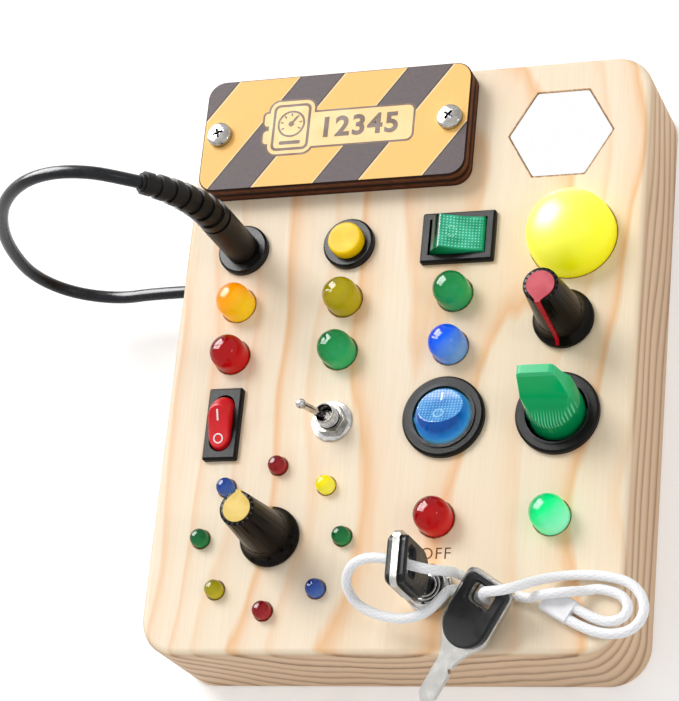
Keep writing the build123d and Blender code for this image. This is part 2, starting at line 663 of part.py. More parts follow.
with BuildPart() as plug_body:
    add(turned([(0, 0), (HANDLE_R - COLLAR_EDGE, 0), (HANDLE_R, COLLAR_EDGE), (HANDLE_R, HANDLE_LENGTH),
                (0, HANDLE_LENGTH)], upright(*jack_at, FACE + COLLAR_H)))
    for share in (0, 0.5, 1):
        with BuildSketch(relief_plane(share)):
            Circle(HANDLE_R + (RELIEF_TIP_R - HANDLE_R) * share - RELIEF_RIB)
    loft()
    for i in range(RELIEF_RIBS):
        share = (i + 0.5) / RELIEF_RIBS
        with BuildSketch(relief_plane(share)):
            Circle(HANDLE_R + (RELIEF_TIP_R - HANDLE_R) * share)
        extrude(amount=RELIEF_RIB_T / 2, both=True)
save(plug_body, "plug_body")

# ---------------------------------------------------------------- lead and its gland
def fillet_radii(route: list, share: float = 0.45) -> list:
    """Radius of the arc at each inner point: as large as its two runs allow."""
    points = [Vector(*p) for p in route]
    radii = []
    for before, here, after in zip(points, points[1:], points[2:]):
        run_in = here - before
        run_out = after - here
        half_turn = radians(run_in.get_angle(run_out) / 2)
        radii.append(share * min(run_in.length, run_out.length) / tan(half_turn))
    return radii


def tube(route: list, radius: float) -> tuple[Part, float]:
    """A round cord along straight runs and tangent arcs, and the length of its middle."""
    with BuildPart() as piece:
        with BuildLine() as path:
            FilletPolyline(*route, radius=fillet_radii(route))
        middle = path.wires()[0]
        with BuildSketch(Plane(origin=middle @ 0, z_dir=middle % 0)):
            Circle(radius)
        sweep(path=middle)
    return piece.part, middle.length


gland_face = -BOARD_W / 2 - GLAND_RISE
with BuildPart() as cable_gland:
    with BuildSketch(Plane(origin=(-BOARD_W / 2, GLAND_Y, gland_z), x_dir=(0, 1, 0), z_dir=(-1, 0, 0))):
        Circle(GLAND_R)
    extrude(amount=GLAND_RISE)
    fillet(cable_gland.faces().sort_by(Axis.X)[0].edges(), GLAND_EDGE)
    with BuildSketch(Plane(origin=(-BOARD_W / 2, GLAND_Y, gland_z), x_dir=(0, 1, 0), z_dir=(1, 0, 0))):
        Circle(GLAND_STEM_R)
    extrude(amount=WALL + GLAND_LIP_T)
    with BuildSketch(Plane(origin=(WALL - BOARD_W / 2, GLAND_Y, gland_z), x_dir=(0, 1, 0), z_dir=(1, 0, 0))):
        Circle(GLAND_LIP_R)
    extrude(amount=GLAND_LIP_T)
save(cable_gland, "cable_gland")

# The lead springs out of the plug, arches over and comes back into the side of the case.
lead_start = relief_plane(1)
lead_route = [
    lead_start.origin,
    lead_start.origin + lead_start.z_dir * LEAD_STEP,
    (-69.4, 30.6, FACE + 59.0),
    (-78.2, 30.6, FACE + 60.8),
    (-87.6, 30.5, FACE + 58.6),
    (-96.4, 30.3, FACE + 52.4),
    (-104.3, 30.1, FACE + 42.8),
    (-110.4, 29.9, FACE + 30.6),
    (-114.6, 29.7, FACE + 16.6),
    (-116.2, 29.4, FACE - 0.6),
    (-109.4, 29.0, FACE - 13.2),
    (-96.0, 28.5, FACE - 18.3),
    (-83.0, GLAND_Y, gland_z),
    (gland_face, GLAND_Y, gland_z),
]
with BuildPart() as cable:
    lead, lead_length = tube(lead_route, LEAD_R)
    add(lead)
save(cable, "cable")
print("lead length", lead_length, "radii", [round(r, 1) for r in fillet_radii(lead_route)],
      "volume ratio", cable.part.volume / (pi * LEAD_R ** 2 * lead_length))

# ---------------------------------------------------------------- push button
button_at = (COLUMN_2, ROW_TOP)
cap_foot = CAP_TOP - CAP_SKIRT
chamber_top = -BUTTON_FLOOR - BUTTON_FLOOR_T
chamber_foot = chamber_top - CLIP_T - BUTTON_TRAVEL - CLIP_GAP
with BuildPart() as button_housing:
    add(turned([(0, -BUTTON_BODY), (THREAD_R, -BUTTON_BODY), (THREAD_R, 0), (COLLAR_R, 0),
                (COLLAR_R, COLLAR_H - COLLAR_EDGE), (COLLAR_R - COLLAR_EDGE, COLLAR_H),
                (CAP_R + CAP_GAP, COLLAR_H), (CAP_R + CAP_GAP, -BUTTON_FLOOR),
                (STEM_R + STEM_GAP, -BUTTON_FLOOR), (STEM_R + STEM_GAP, chamber_top),
                (CLIP_R + CLIP_GAP, chamber_top), (CLIP_R + CLIP_GAP, chamber_foot), (0, chamber_foot)],
               upright(*button_at)))
save(button_housing, "button_housing")

with BuildPart() as button_cap:
    add(turned([(0, chamber_top - CLIP_T), (CLIP_R, chamber_top - CLIP_T), (CLIP_R, chamber_top - SPRING_SEAT),
                (STEM_R, chamber_top - SPRING_SEAT), (STEM_R, cap_foot), (CAP_R, cap_foot),
                (CAP_R, CAP_TOP - CAP_EDGE), (CAP_R - CAP_EDGE, CAP_TOP), (0, CAP_TOP)],
               upright(*button_at)))
save(button_cap, "button_cap")

spring_length = cap_foot + BUTTON_FLOOR - 2 * SPRING_SEAT - SPRING_WIRE
spring_foot = FACE - BUTTON_FLOOR + SPRING_SEAT + SPRING_WIRE / 2
with BuildPart() as button_spring:
    with BuildLine(Plane(origin=(*button_at, spring_foot))) as coil:
        Helix(spring_length / SPRING_TURNS, spring_length, SPRING_R)
    with BuildSketch(Plane(origin=coil.line @ 0, z_dir=coil.line % 0)):
        Rectangle(SPRING_WIRE, SPRING_WIRE)
    sweep(path=coil.line, is_frenet=True)
save(button_spring, "button_spring")


# ---------------------------------------------------------------- rockers
def rocker_housing(x: float, y: float, heading: float, bezel: Sketch, body: Sketch, well: Sketch,
                   key_half: float, rim: float = 0.0) -> Part:
    """A rocker's bezel, body, key well and pivot holes; outlines are drawn along local Y."""
    seat = Plane(origin=(x, y, FACE), x_dir=heading_plane(x, y, FACE, heading).z_dir, z_dir=(0, 0, 1))
    pivot = heading_plane(x, y, FACE - PIVOT_BELOW, heading)
    body_half = body.bounding_box().size.Y / 2
    with BuildPart() as housing:
        with BuildSketch(seat):
            add(bezel)
        extrude(amount=BEZEL_H)
        chamfer(housing.faces().sort_by(Axis.Z)[-1].outer_wire().edges(), BEZEL_EDGE)
        if rim:
            with BuildSketch(seat.offset(BEZEL_H)):
                Circle(rim)
            extrude(amount=ROUND_RIM_H)
        with BuildSketch(seat):
            add(body)
        extrude(amount=-ROCKER_BODY)
        with BuildSketch(seat.offset(-KEY_WELL)):
            add(well)
        extrude(amount=KEY_WELL + BEZEL_H + ROUND_RIM_H, mode=Mode.SUBTRACT)
        with BuildSketch(pivot):
            Circle(PIVOT_R + PIVOT_GAP)
        extrude(amount=key_half + PIVOT_REACH + PIVOT_GAP, both=True, mode=Mode.SUBTRACT)
        with BuildSketch(heading_plane(x, y, FACE, heading)):
            for side in (-1, 1):
                with BuildLine():
                    Polyline((side * (body_half - WEDGE), -SKIN - SEAT_GAP),
                             (side * (body_half + WEDGE), -SKIN - SEAT_GAP),
                             (side * (body_half - WEDGE), -SKIN - WEDGE_H), close=True)
                make_face()
        extrude(amount=WEDGE_W / 2, both=True)
    return housing.part


def rocker_key(x: float, y: float, heading: float, half_drum: Sketch, key_half: float) -> Part:
    """A rocker's key, tilted so that its end towards the heading stands up.

    Its ends are round about the pivot, so that it turns inside its well with an even gap.
    """
    level = heading_plane(x, y, FACE - PIVOT_BELOW, heading)
    tilted = heading_plane(x, y, FACE - PIVOT_BELOW, heading, ROCKER_TILT)
    end_x = KEY_R * cos(radians(KEY_END))
    end_z = KEY_R * sin(radians(KEY_END))
    foot_z = KEY_R * sin(radians(KEY_FOOT))
    beyond = KEY_R + 1
    with BuildPart() as key:
        with BuildSketch(Plane(origin=level.origin, x_dir=level.z_dir, z_dir=(0, 0, 1))):
            add(half_drum)
        revolve(axis=Axis(level.origin, level.z_dir))
        with BuildSketch(tilted):
            with BuildLine():
                Polyline((end_x, end_z), (beyond, end_z), (beyond, foot_z), (-beyond, foot_z),
                         (-beyond, end_z), (-end_x, end_z))
                ThreePointArc((-end_x, end_z), (0, end_z - KEY_DIP), (end_x, end_z))
            make_face()
        extrude(amount=KEY_R, both=True, mode=Mode.INTERSECT)
        finger = key.faces().filter_by(GeomType.CYLINDER).sort_by(Axis(level.origin, tilted.y_dir))[-1]
        fillet(finger.edges(), KEY_EDGE)
        with BuildSketch(level):
            Circle(PIVOT_R)
        extrude(amount=key_half + PIVOT_REACH, both=True)
    return key.part


with BuildSketch() as rect_bezel:
    RectangleRounded(RECT_W, ROCKER_LENGTH, BEZEL_EDGE)
with BuildSketch() as rect_trunk:
    Rectangle(rect_body[1], rect_body[0])
with BuildSketch() as rect_well:
    Rectangle(RECT_KEY_W + 2 * KEY_GAP, 2 * (KEY_R + KEY_GAP))
with BuildSketch() as rect_drum:
    Rectangle(RECT_KEY_W, KEY_R, align=(Align.CENTER, Align.MIN))

with BuildSketch() as slim_bezel:
    RectangleRounded(SLIM_W, ROCKER_LENGTH, BEZEL_EDGE)
with BuildSketch() as slim_trunk:
    Rectangle(*slim_body)
with BuildSketch() as slim_well:
    SlotOverall(2 * (KEY_R + KEY_GAP), SLIM_KEY_W + 2 * KEY_GAP, rotation=90)
with BuildSketch() as slim_drum:
    SlotOverall(2 * KEY_R, SLIM_KEY_W, rotation=90)
    Rectangle(SLIM_KEY_W, KEY_R, align=(Align.CENTER, Align.MAX), mode=Mode.SUBTRACT)

with BuildSketch() as round_bezel:
    Circle(ROUND_R)
with BuildSketch() as round_trunk:
    Circle(ROUND_BODY_R)
with BuildSketch() as round_well:
    Circle(KEY_R + KEY_GAP)
with BuildSketch() as lever_well:
    Circle(KEY_R + LEVER_GAP)
with BuildSketch() as round_drum:
    Circle(KEY_R)
    Rectangle(2 * KEY_R, KEY_R, align=(Align.CENTER, Align.MAX), mode=Mode.SUBTRACT)

with BuildPart() as green_rocker_housing:
    add(rocker_housing(COLUMN_3, ROW_TOP, 180, rect_bezel.sketch, rect_trunk.sketch, rect_well.sketch,
                       RECT_KEY_W / 2))
save(green_rocker_housing, "green_rocker_housing")
with BuildPart() as green_rocker_key:
    add(rocker_key(COLUMN_3, ROW_TOP, 180, rect_drum.sketch, RECT_KEY_W / 2))
save(green_rocker_key, "green_rocker_key")

with BuildPart() as red_rocker_housing:
    add(rocker_housing(COLUMN_1, ROW_SWITCH, 90, slim_bezel.sketch, slim_trunk.sketch, slim_well.sketch,
                       SLIM_KEY_W / 2))
save(red_rocker_housing, "red_rocker_housing")
with BuildPart() as red_rocker_key:
    add(rocker_key(COLUMN_1, ROW_SWITCH, 90, slim_drum.sketch, SLIM_KEY_W / 2))
save(red_rocker_key, "red_rocker_key")

with BuildPart() as blue_rocker_housing:
    add(rocker_housing(COLUMN_3, ROW_SWITCH, -90, round_bezel.sketch, round_trunk.sketch,
                       round_well.sketch, KEY_R, ROUND_RIM_R))
save(blue_rocker_housing, "blue_rocker_housing")
with BuildPart() as blue_rocker_key:
    add(rocker_key(COLUMN_3, ROW_SWITCH, -90, round_drum.sketch, KEY_R))
save(blue_rocker_key, "blue_rocker_key")

with BuildPart() as paddle_housing:
    add(rocker_housing(COLUMN_4, ROW_SWITCH, -90, round_bezel.sketch, round_trunk.sketch,
                       lever_well.sketch, KEY_R, ROUND_RIM_R))
save(paddle_housing, "paddle_housing")

# The duck-bill lever is one moulding: a round foot that rocks in the well and a bill that narrows
# both ways up to a thin tip.
lever_side = heading_plane(COLUMN_4, ROW_SWITCH, FACE - PIVOT_BELOW, -90, LEVER_TILT)
lever_front = Plane(origin=lever_side.origin, x_dir=lever_side.z_dir, z_dir=-lever_side.x_dir)
lever_foot = Plane(origin=lever_side.origin, x_dir=lever_side.z_dir, z_dir=lever_side.y_dir)
half_tip = LEVER_TIP_T / 2
with BuildPart() as paddle_lever:
    with BuildSketch(lever_side) as bill:
        with BuildLine():
            flank = ThreePointArc((LEVER_BROW, LEVER_SHOULDER), (LEVER_WAIST, LEVER_TIP * 0.66),
                                  (half_tip, LEVER_TIP))
            Polyline((half_tip, LEVER_TIP), (0, LEVER_TIP), (0, 0), (KEY_R, 0),
                     (KEY_R, LEVER_SHOULDER - 1.6), (LEVER_BROW, LEVER_SHOULDER))
        make_face()
        mirror(about=Plane.YZ)
    extrude(amount=KEY_R, both=True)
    with BuildSketch(lever_front) as front:
        with BuildLine():
            Polyline((-KEY_R, 0), (-KEY_R, LEVER_SHOULDER), (-LEVER_TIP_W / 2, LEVER_TIP),
                     (LEVER_TIP_W / 2, LEVER_TIP), (KEY_R, LEVER_SHOULDER), (KEY_R, 0), close=True)
        make_face()
        fillet(front.vertices().group_by(Axis.Y)[-1], LEVER_TIP_R)
    extrude(amount=KEY_R + 1, both=True, mode=Mode.INTERSECT)
    with BuildSketch(lever_foot):
        Circle(KEY_R - LEVER_TAPER)
    extrude(amount=LEVER_TIP + 1, mode=Mode.INTERSECT)
    with Locations(lever_foot):
        Sphere(KEY_R - LEVER_TAPER, arc_size1=KEY_FOOT, arc_size2=0)
    with BuildSketch(lever_side):
        Circle(PIVOT_R)
    extrude(amount=KEY_R + PIVOT_REACH, both=True)
save(paddle_lever, "paddle_lever")

# ---------------------------------------------------------------- toggle switch
toggle_at = (COLUMN_2, ROW_SWITCH)
toggle_floor = -SKIN - TOGGLE_CASE_T - TOGGLE_BODY[2]
with BuildPart() as toggle_bushing:
    with BuildSketch(Plane.XY.offset(UNDER)):
        with Locations(toggle_at):
            Rectangle(TOGGLE_BODY[0], TOGGLE_BODY[1])
    extrude(amount=-TOGGLE_CASE_T)
    add(turned([(BUSH_BORE_R, -SKIN - TOGGLE_CASE_T), (BUSH_R, -SKIN - TOGGLE_CASE_T), (BUSH_R, BUSH_TOP),
                (BUSH_MOUTH_R, BUSH_TOP), (BUSH_NECK_R, BUSH_NECK), (BUSH_BORE_R, BUSH_SHOULDER)],
               upright(*toggle_at)))
    with BuildSketch(Plane.XY.offset(UNDER)):
        with Locations(toggle_at):
            Circle(BUSH_BORE_R)
    extrude(amount=-TOGGLE_CASE_T, mode=Mode.SUBTRACT)
save(toggle_bushing, "toggle_bushing")

with BuildPart() as toggle_body:
    with BuildSketch(Plane.XY.offset(UNDER - TOGGLE_CASE_T)):
        with Locations(toggle_at):
            Rectangle(TOGGLE_BODY[0], TOGGLE_BODY[1])
    extrude(amount=-TOGGLE_BODY[2])
    chamfer(toggle_body.faces().sort_by(Axis.Z)[0].edges(), TOGGLE_CHAMFER)
save(toggle_body, "toggle_body")

lever_axis = heading_plane(*toggle_at, FACE + TOGGLE_PIVOT, 0, TOGGLE_TILT)
with BuildPart() as toggle_lever:
    with Locations(Plane(origin=lever_axis.origin, x_dir=lever_axis.x_dir, z_dir=lever_axis.y_dir)):
        Sphere(TOGGLE_BALL_R)
        Cylinder(TOGGLE_LEVER_R, TOGGLE_TIP, align=(Align.CENTER, Align.CENTER, Align.MIN))
        Cylinder(TOGGLE_TAIL_R, TOGGLE_TAIL, align=(Align.CENTER, Align.CENTER, Align.MAX))
        with Locations((0, 0, TOGGLE_TIP)):
            Sphere(TOGGLE_TIP_R)
save(toggle_lever, "toggle_lever")

with BuildPart() as toggle_washer:
    with BuildSketch(Plane.XY.offset(FACE)):
        with Locations(toggle_at):
            Circle(WASHER_R)
            Circle(BUSH_R + BUSH_GAP, mode=Mode.SUBTRACT)
    extrude(amount=WASHER_T)
save(toggle_washer, "toggle_washer")

with BuildPart() as toggle_nut:
    with BuildSketch(Plane.XY.offset(FACE + WASHER_T)):
        with Locations(toggle_at):
            RegularPolygon(SMALL_NUT_ACROSS / 2, 6, major_radius=False)
            Circle(BUSH_R, mode=Mode.SUBTRACT)
    extrude(amount=SMALL_NUT_T)
save(toggle_nut, "toggle_nut")


# ---------------------------------------------------------------- knobs
def turning_part(x: float, y: float, body_r: float, depth: float) -> Part:
    """Body of a potentiometer or rotary switch with its bush and the bore for its shaft."""
    bore_r = SHAFT_R + SHAFT_GAP
    bore_foot = -SKIN - SHAFT_SEAT - SHAFT_GAP
    return turned([(0, -SKIN - depth), (body_r, -SKIN - depth), (body_r, -SKIN), (SHAFT_BUSH_R, -SKIN),
                   (SHAFT_BUSH_R, SHAFT_BUSH_TOP), (bore_r, SHAFT_BUSH_TOP), (bore_r, bore_foot),
                   (0, bore_foot)], upright(x, y))


def d_shaft(x: float, y: float, heading: float) -> Part:
    """A shaft whose upper end has a flat on the side away from the heading."""
    with BuildPart() as shaft:
        with BuildSketch(Plane(origin=(x, y, UNDER - SHAFT_SEAT))):
            Circle(SHAFT_R)
        extrude(amount=SKIN + SHAFT_SEAT + SHAFT_TOP)
        with BuildSketch(heading_plane(x, y, FACE, heading)):
            with BuildLine():
                Polyline((-SHAFT_FLAT, FLAT_FOOT), (-SHAFT_R, FLAT_FOOT), (-SHAFT_R, SHAFT_TOP),
                         (-SHAFT_FLAT, SHAFT_TOP), close=True)
            make_face()
        extrude(amount=SHAFT_R, both=True, mode=Mode.SUBTRACT)
    return shaft.part


def knob_pointer(x: float, y: float, top: float, heading: float) -> Part:
    """The coloured inlay of a knob: a drop-shaped cap on top and a strip down its side."""
    head = Plane(origin=(x, y, FACE + top - POINTER_CAP),
                 x_dir=(cos(radians(heading)), sin(radians(heading)), 0), z_dir=(0, 0, 1))
    touch = POINTER_HEAD_R ** 2 / POINTER_NOSE
    rise = sqrt(POINTER_HEAD_R ** 2 - touch ** 2)
    skin_side = POINTER_STRIP_T - POINTER_PROUD
    with BuildPart() as pointer:
        with BuildSketch(head):
            Circle(POINTER_HEAD_R)
            with BuildLine():
                Polyline((0, 0), (touch, rise), (POINTER_NOSE, 0), (touch, -rise), close=True)
            make_face()
            with Locations((POINTER_HEAD_R, 0)):
                Rectangle(KNOB_TOP_R - POINTER_HEAD_R + POINTER_PROUD, POINTER_STRIP_W,
                          align=(Align.MIN, Align.CENTER))
        extrude(amount=POINTER_CAP + POINTER_PROUD)
        with BuildSketch(heading_plane(x, y, FACE, heading)):
            with BuildLine():
                Polyline((KNOB_TOP_R + POINTER_PROUD, top + POINTER_PROUD),
                         (KNOB_NECK_R + POINTER_PROUD, KNOB_NECK),
                         (KNOB_WAIST[0] + POINTER_PROUD, KNOB_WAIST[1]),
                         (KNOB_R - POINTER_PROUD, KNOB_LIFT + KNOB_FLARE),
                         (KNOB_R - POINTER_STRIP_T, KNOB_LIFT + KNOB_FLARE),
                         (KNOB_WAIST[0] - skin_side, KNOB_WAIST[1]),
                         (KNOB_NECK_R - skin_side, KNOB_NECK),
                         (KNOB_TOP_R - skin_side, top + POINTER_PROUD), close=True)
            make_face()
        extrude(amount=POINTER_STRIP_W / 2, both=True)
    return pointer.part


def knob(x: float, y: float, top: float, heading: float, pointer: Part) -> Part:
    """A fluted knob with a flared skirt, hollow over its bush and nut, bored for a D shaft."""
    taper = Vector(KNOB_TOP_R - KNOB_NECK_R, top - KNOB_NECK)
    with BuildPart() as piece:
        with BuildSketch(upright(x, y)):
            with BuildLine():
                Polyline((0, KNOB_WELL_TOP), (KNOB_THROAT_R, KNOB_WELL_TOP), (KNOB_THROAT_R, KNOB_WELL),
                         (KNOB_WELL_R, KNOB_WELL), (KNOB_WELL_R, KNOB_LIFT), (KNOB_R, KNOB_LIFT),
                         (KNOB_R, KNOB_LIFT + KNOB_FLARE - KNOB_EDGE))
                ThreePointArc((KNOB_R, KNOB_LIFT + KNOB_FLARE - KNOB_EDGE), KNOB_WAIST,
                              (KNOB_NECK_R, KNOB_NECK))
                Polyline((KNOB_NECK_R, KNOB_NECK), (KNOB_TOP_R, top - KNOB_EDGE),
                         (KNOB_TOP_R - KNOB_EDGE, top), (0, top), (0, KNOB_WELL_TOP))
            make_face()
        revolve(axis=line_up(x, y))
        with BuildSketch(Plane(origin=(x, y, FACE + KNOB_WELL_TOP),
                               x_dir=(cos(radians(heading)), sin(radians(heading)), 0), z_dir=(0, 0, 1))):
            Circle(SHAFT_R)
            with Locations((-SHAFT_FLAT, 0)):
                Rectangle(SHAFT_R, 2 * SHAFT_R, align=(Align.MAX, Align.CENTER), mode=Mode.SUBTRACT)
        extrude(amount=SHAFT_TOP - KNOB_WELL_TOP, mode=Mode.SUBTRACT)
        add(pointer, mode=Mode.SUBTRACT)
        for i in range(KNOB_FLUTES - 2):
            flute = heading_plane(x, y, FACE, heading + (i + 1.5) * 360 / KNOB_FLUTES)
            foot = flute.from_local_coords(Vector(KNOB_NECK_R, KNOB_NECK))
            with BuildSketch(Plane(origin=foot, z_dir=flute.x_dir * taper.X + flute.y_dir * taper.Y)):
                Circle(FLUTE_R)
            extrude(amount=top, mode=Mode.SUBTRACT)
    return piece.part


red_knob_at = (COLUMN_4, RED_KNOB_Y)
with BuildPart() as potentiometer:
    add(turning_part(*red_knob_at, POT_R, POT_DEPTH))
save(potentiometer, "potentiometer")
with BuildPart() as pot_shaft:
    add(d_shaft(*red_knob_at, RED_POINTER_AT))
save(pot_shaft, "pot_shaft")
with BuildPart() as red_pointer:
    add(knob_pointer(*red_knob_at, RED_KNOB_TOP, RED_POINTER_AT))
save(red_pointer, "red_pointer")
with BuildPart() as red_knob:
    add(knob(*red_knob_at, RED_KNOB_TOP, RED_POINTER_AT, red_pointer.part))
save(red_knob, "red_knob")

with BuildPart() as rotary_switch:
    add(turning_part(*LAMP_RING, ROTARY_R, ROTARY_DEPTH))
save(rotary_switch, "rotary_switch")
with BuildPart() as rotary_shaft:
    add(d_shaft(*LAMP_RING, YELLOW_POINTER_AT))
save(rotary_shaft, "rotary_shaft")
with BuildPart() as yellow_pointer:
    add(knob_pointer(*LAMP_RING, YELLOW_KNOB_TOP, YELLOW_POINTER_AT))
save(yellow_pointer, "yellow_pointer")
with BuildPart() as yellow_knob:
    add(knob(*LAMP_RING, YELLOW_KNOB_TOP, YELLOW_POINTER_AT, yellow_pointer.part))
save(yellow_knob, "yellow_knob")

# ---------------------------------------------------------------- key switch
lock_at = (COLUMN_3, LOCK_Y)
lip_foot = LOCK_TOP - CORE_LIP
with BuildPart() as lock_barrel:
    add(turned([(0, -LOCK_BODY), (THREAD_R, -LOCK_BODY), (THREAD_R, 0), (LOCK_FLANGE_R, 0),
                (LOCK_FLANGE_R, LOCK_FLANGE_T - LOCK_EDGE), (LOCK_FLANGE_R - LOCK_EDGE, LOCK_FLANGE_T),
                (LOCK_FACE_R, LOCK_FLANGE_T), (LOCK_FACE_R, LOCK_TOP - LOCK_EDGE),
                (LOCK_FACE_R - LOCK_EDGE, LOCK_TOP), (CORE_LIP_R + CORE_GAP, LOCK_TOP),
                (CORE_LIP_R + CORE_GAP, lip_foot - CORE_GAP), (CORE_R + CORE_GAP, lip_foot - CORE_GAP),
                (CORE_R + CORE_GAP, -CORE_DEPTH - CORE_GAP), (0, -CORE_DEPTH - CORE_GAP)],
               upright(*lock_at)))
save(lock_barrel, "lock_barrel")

with BuildPart() as lock_core:
    add(turned([(0, -CORE_DEPTH), (CORE_R, -CORE_DEPTH), (CORE_R, lip_foot), (CORE_LIP_R, lip_foot),
                (CORE_LIP_R, LOCK_TOP), (0, LOCK_TOP)], upright(*lock_at)))
    with BuildSketch(Plane.XY.offset(FACE + LOCK_TOP)):
        with Locations(lock_at):
            Rectangle(BLADE_T + 2 * KEYWAY_GAP, BLADE_W + 2 * KEYWAY_GAP)
    extrude(amount=KEY_GAP_UP - BLADE_LENGTH - KEYWAY_END, mode=Mode.SUBTRACT)
save(lock_core, "lock_core")


# ---------------------------------------------------------------- keys
def head_outline(grow: float = 0.0) -> Sketch:
    """A key head seen flat, its slot at the origin and its far end up; square above, round below."""
    half = HEAD_W / 2 + grow
    round_at = HEAD_TOP - HEAD_LENGTH + HEAD_W / 2
    with BuildSketch(Plane.XY) as outline:
        with BuildLine():
            Line((half, round_at), (half, HEAD_TOP + grow - HEAD_CORNER))
            Polyline((half, HEAD_TOP + grow - HEAD_CORNER), (half, HEAD_TOP + grow),
                     (-half, HEAD_TOP + grow), (-half, round_at))
            CenterArc((0, round_at), half, 180, 180)
        make_face()
        fillet(outline.vertices().group_by(Axis.Y)[-1], HEAD_CORNER)
        RectangleRounded(*KEY_SLOT, KEY_SLOT_R, mode=Mode.SUBTRACT)
    return outline.sketch


def key_pieces(place: Plane) -> tuple[Part, Part]:
    """Blade and moulded head of a key; the head's two covers join through holes in the plate."""
    throat = HEAD_TOP - HEAD_LENGTH - KEY_SHOULDER
    tip = throat - BLADE_LENGTH
    boss_y = HEAD_TOP - HEAD_LENGTH + HEAD_W / 2
    with BuildPart() as blade:
        with BuildSketch(place):
            add(head_outline(KEY_RIM))
            with Locations((0, throat)):
                Rectangle(THROAT_W, HEAD_W / 2 + KEY_SHOULDER, align=(Align.CENTER, Align.MIN))
            with BuildLine():
                Polyline((-BLADE_W / 2, throat), (BLADE_W / 2, throat), (BLADE_W / 2, tip + BLADE_POINT),
                         (BLADE_W / 4, tip), (-BLADE_W / 4, tip), (-BLADE_W / 2, tip + BLADE_POINT),
                         close=True)
            make_face()
            with BuildLine():
                for i in range(NOTCH_COUNT):
                    centre = throat - (i + 0.75) * NOTCH_PITCH
                    Polyline((BLADE_W / 2, centre - NOTCH_DEPTH), (BLADE_W / 2 - NOTCH_DEPTH, centre),
                             (BLADE_W / 2, centre + NOTCH_DEPTH), close=True)
            make_face(mode=Mode.SUBTRACT)
            with Locations((0, boss_y)):
                with GridLocations(BOSS_PITCH, 0, 2, 1):
                    Circle(BOSS_R, mode=Mode.SUBTRACT)
        extrude(amount=BLADE_T / 2, both=True)
    with BuildPart() as head:
        with BuildSketch(place):
            add(head_outline())
        extrude(amount=HEAD_T / 2, both=True)
        chamfer(head.faces().filter_by(Plane(origin=place.origin, z_dir=place.z_dir)).edges(), HEAD_EDGE)
        add(blade.part, mode=Mode.SUBTRACT)
    return blade.part, head.part


slot_up = KEY_GAP_UP + LOCK_TOP + HEAD_LENGTH - HEAD_TOP + KEY_SHOULDER
key_1_place = Plane(origin=(*lock_at, FACE + slot_up), x_dir=(0, 1, 0), z_dir=(1, 0, 0))
key_1_parts = key_pieces(key_1_place)
with BuildPart() as key_1_blade:
    add(key_1_parts[0])
save(key_1_blade, "key_1_blade")
with BuildPart() as key_1_head:
    add(key_1_parts[1])
save(key_1_head, "key_1_head")

key_2_turn = radians(KEY_2_HEADING)
key_2_dip = radians(KEY_2_DIP)
key_2_place = Plane(origin=(KEY_2_AT[0], KEY_2_AT[1], FACE + KEY_2_AT[2]),
                    x_dir=(sin(key_2_turn), -cos(key_2_turn), 0),
                    z_dir=(-cos(key_2_turn) * sin(key_2_dip), -sin(key_2_turn) * sin(key_2_dip),
                           cos(key_2_dip)))
key_2_parts = key_pieces(key_2_place)
with BuildPart() as key_2_blade:
    add(key_2_parts[0])
save(key_2_blade, "key_2_blade")
with BuildPart() as key_2_head:
    add(key_2_parts[1])
save(key_2_head, "key_2_head")

# ---------------------------------------------------------------- key cord
sleeve_along = Vector(cos(radians(SLEEVE_HEADING)), sin(radians(SLEEVE_HEADING)), 0)
sleeve_bed = Plane(origin=(SLEEVE_AT[0], SLEEVE_AT[1], FACE + CORD_LIFT), x_dir=sleeve_along, z_dir=(0, 0, 1))
with BuildPart() as cord_sleeve:
    with BuildSketch(sleeve_bed):
        Rectangle(SLEEVE[0], SLEEVE[1])
    extrude(amount=SLEEVE[2])
    fillet(cord_sleeve.edges().filter_by(GeomType.LINE).filter_by(
        lambda edge: abs((edge % 0).dot(sleeve_along)) > 0.9), SLEEVE_EDGE)
save(cord_sleeve, "cord_sleeve")

# Both ends of the cord leave the same end of the sleeve, side by side.
strand_1 = sleeve_bed.from_local_coords((SLEEVE[0] / 2, -STRAND_PITCH / 2, SLEEVE[2] / 2))
strand_2 = sleeve_bed.from_local_coords((SLEEVE[0] / 2, STRAND_PITCH / 2, SLEEVE[2] / 2))
cord_route = [strand_1, strand_1 + sleeve_along * STRAND_LEAD] + [
    Vector(x, y, FACE + z) for x, y, z in CORD_ROUTE] + [strand_2 + sleeve_along * STRAND_LEAD, strand_2]
with BuildPart() as key_cord:
    cord, cord_length = tube(cord_route, CORD_R)
    add(cord)
save(key_cord, "key_cord")
print("cord length", cord_length, "radii", [round(r, 1) for r in fillet_radii(cord_route)],
      "volume ratio", key_cord.part.volume / (pi * CORD_R ** 2 * cord_length))

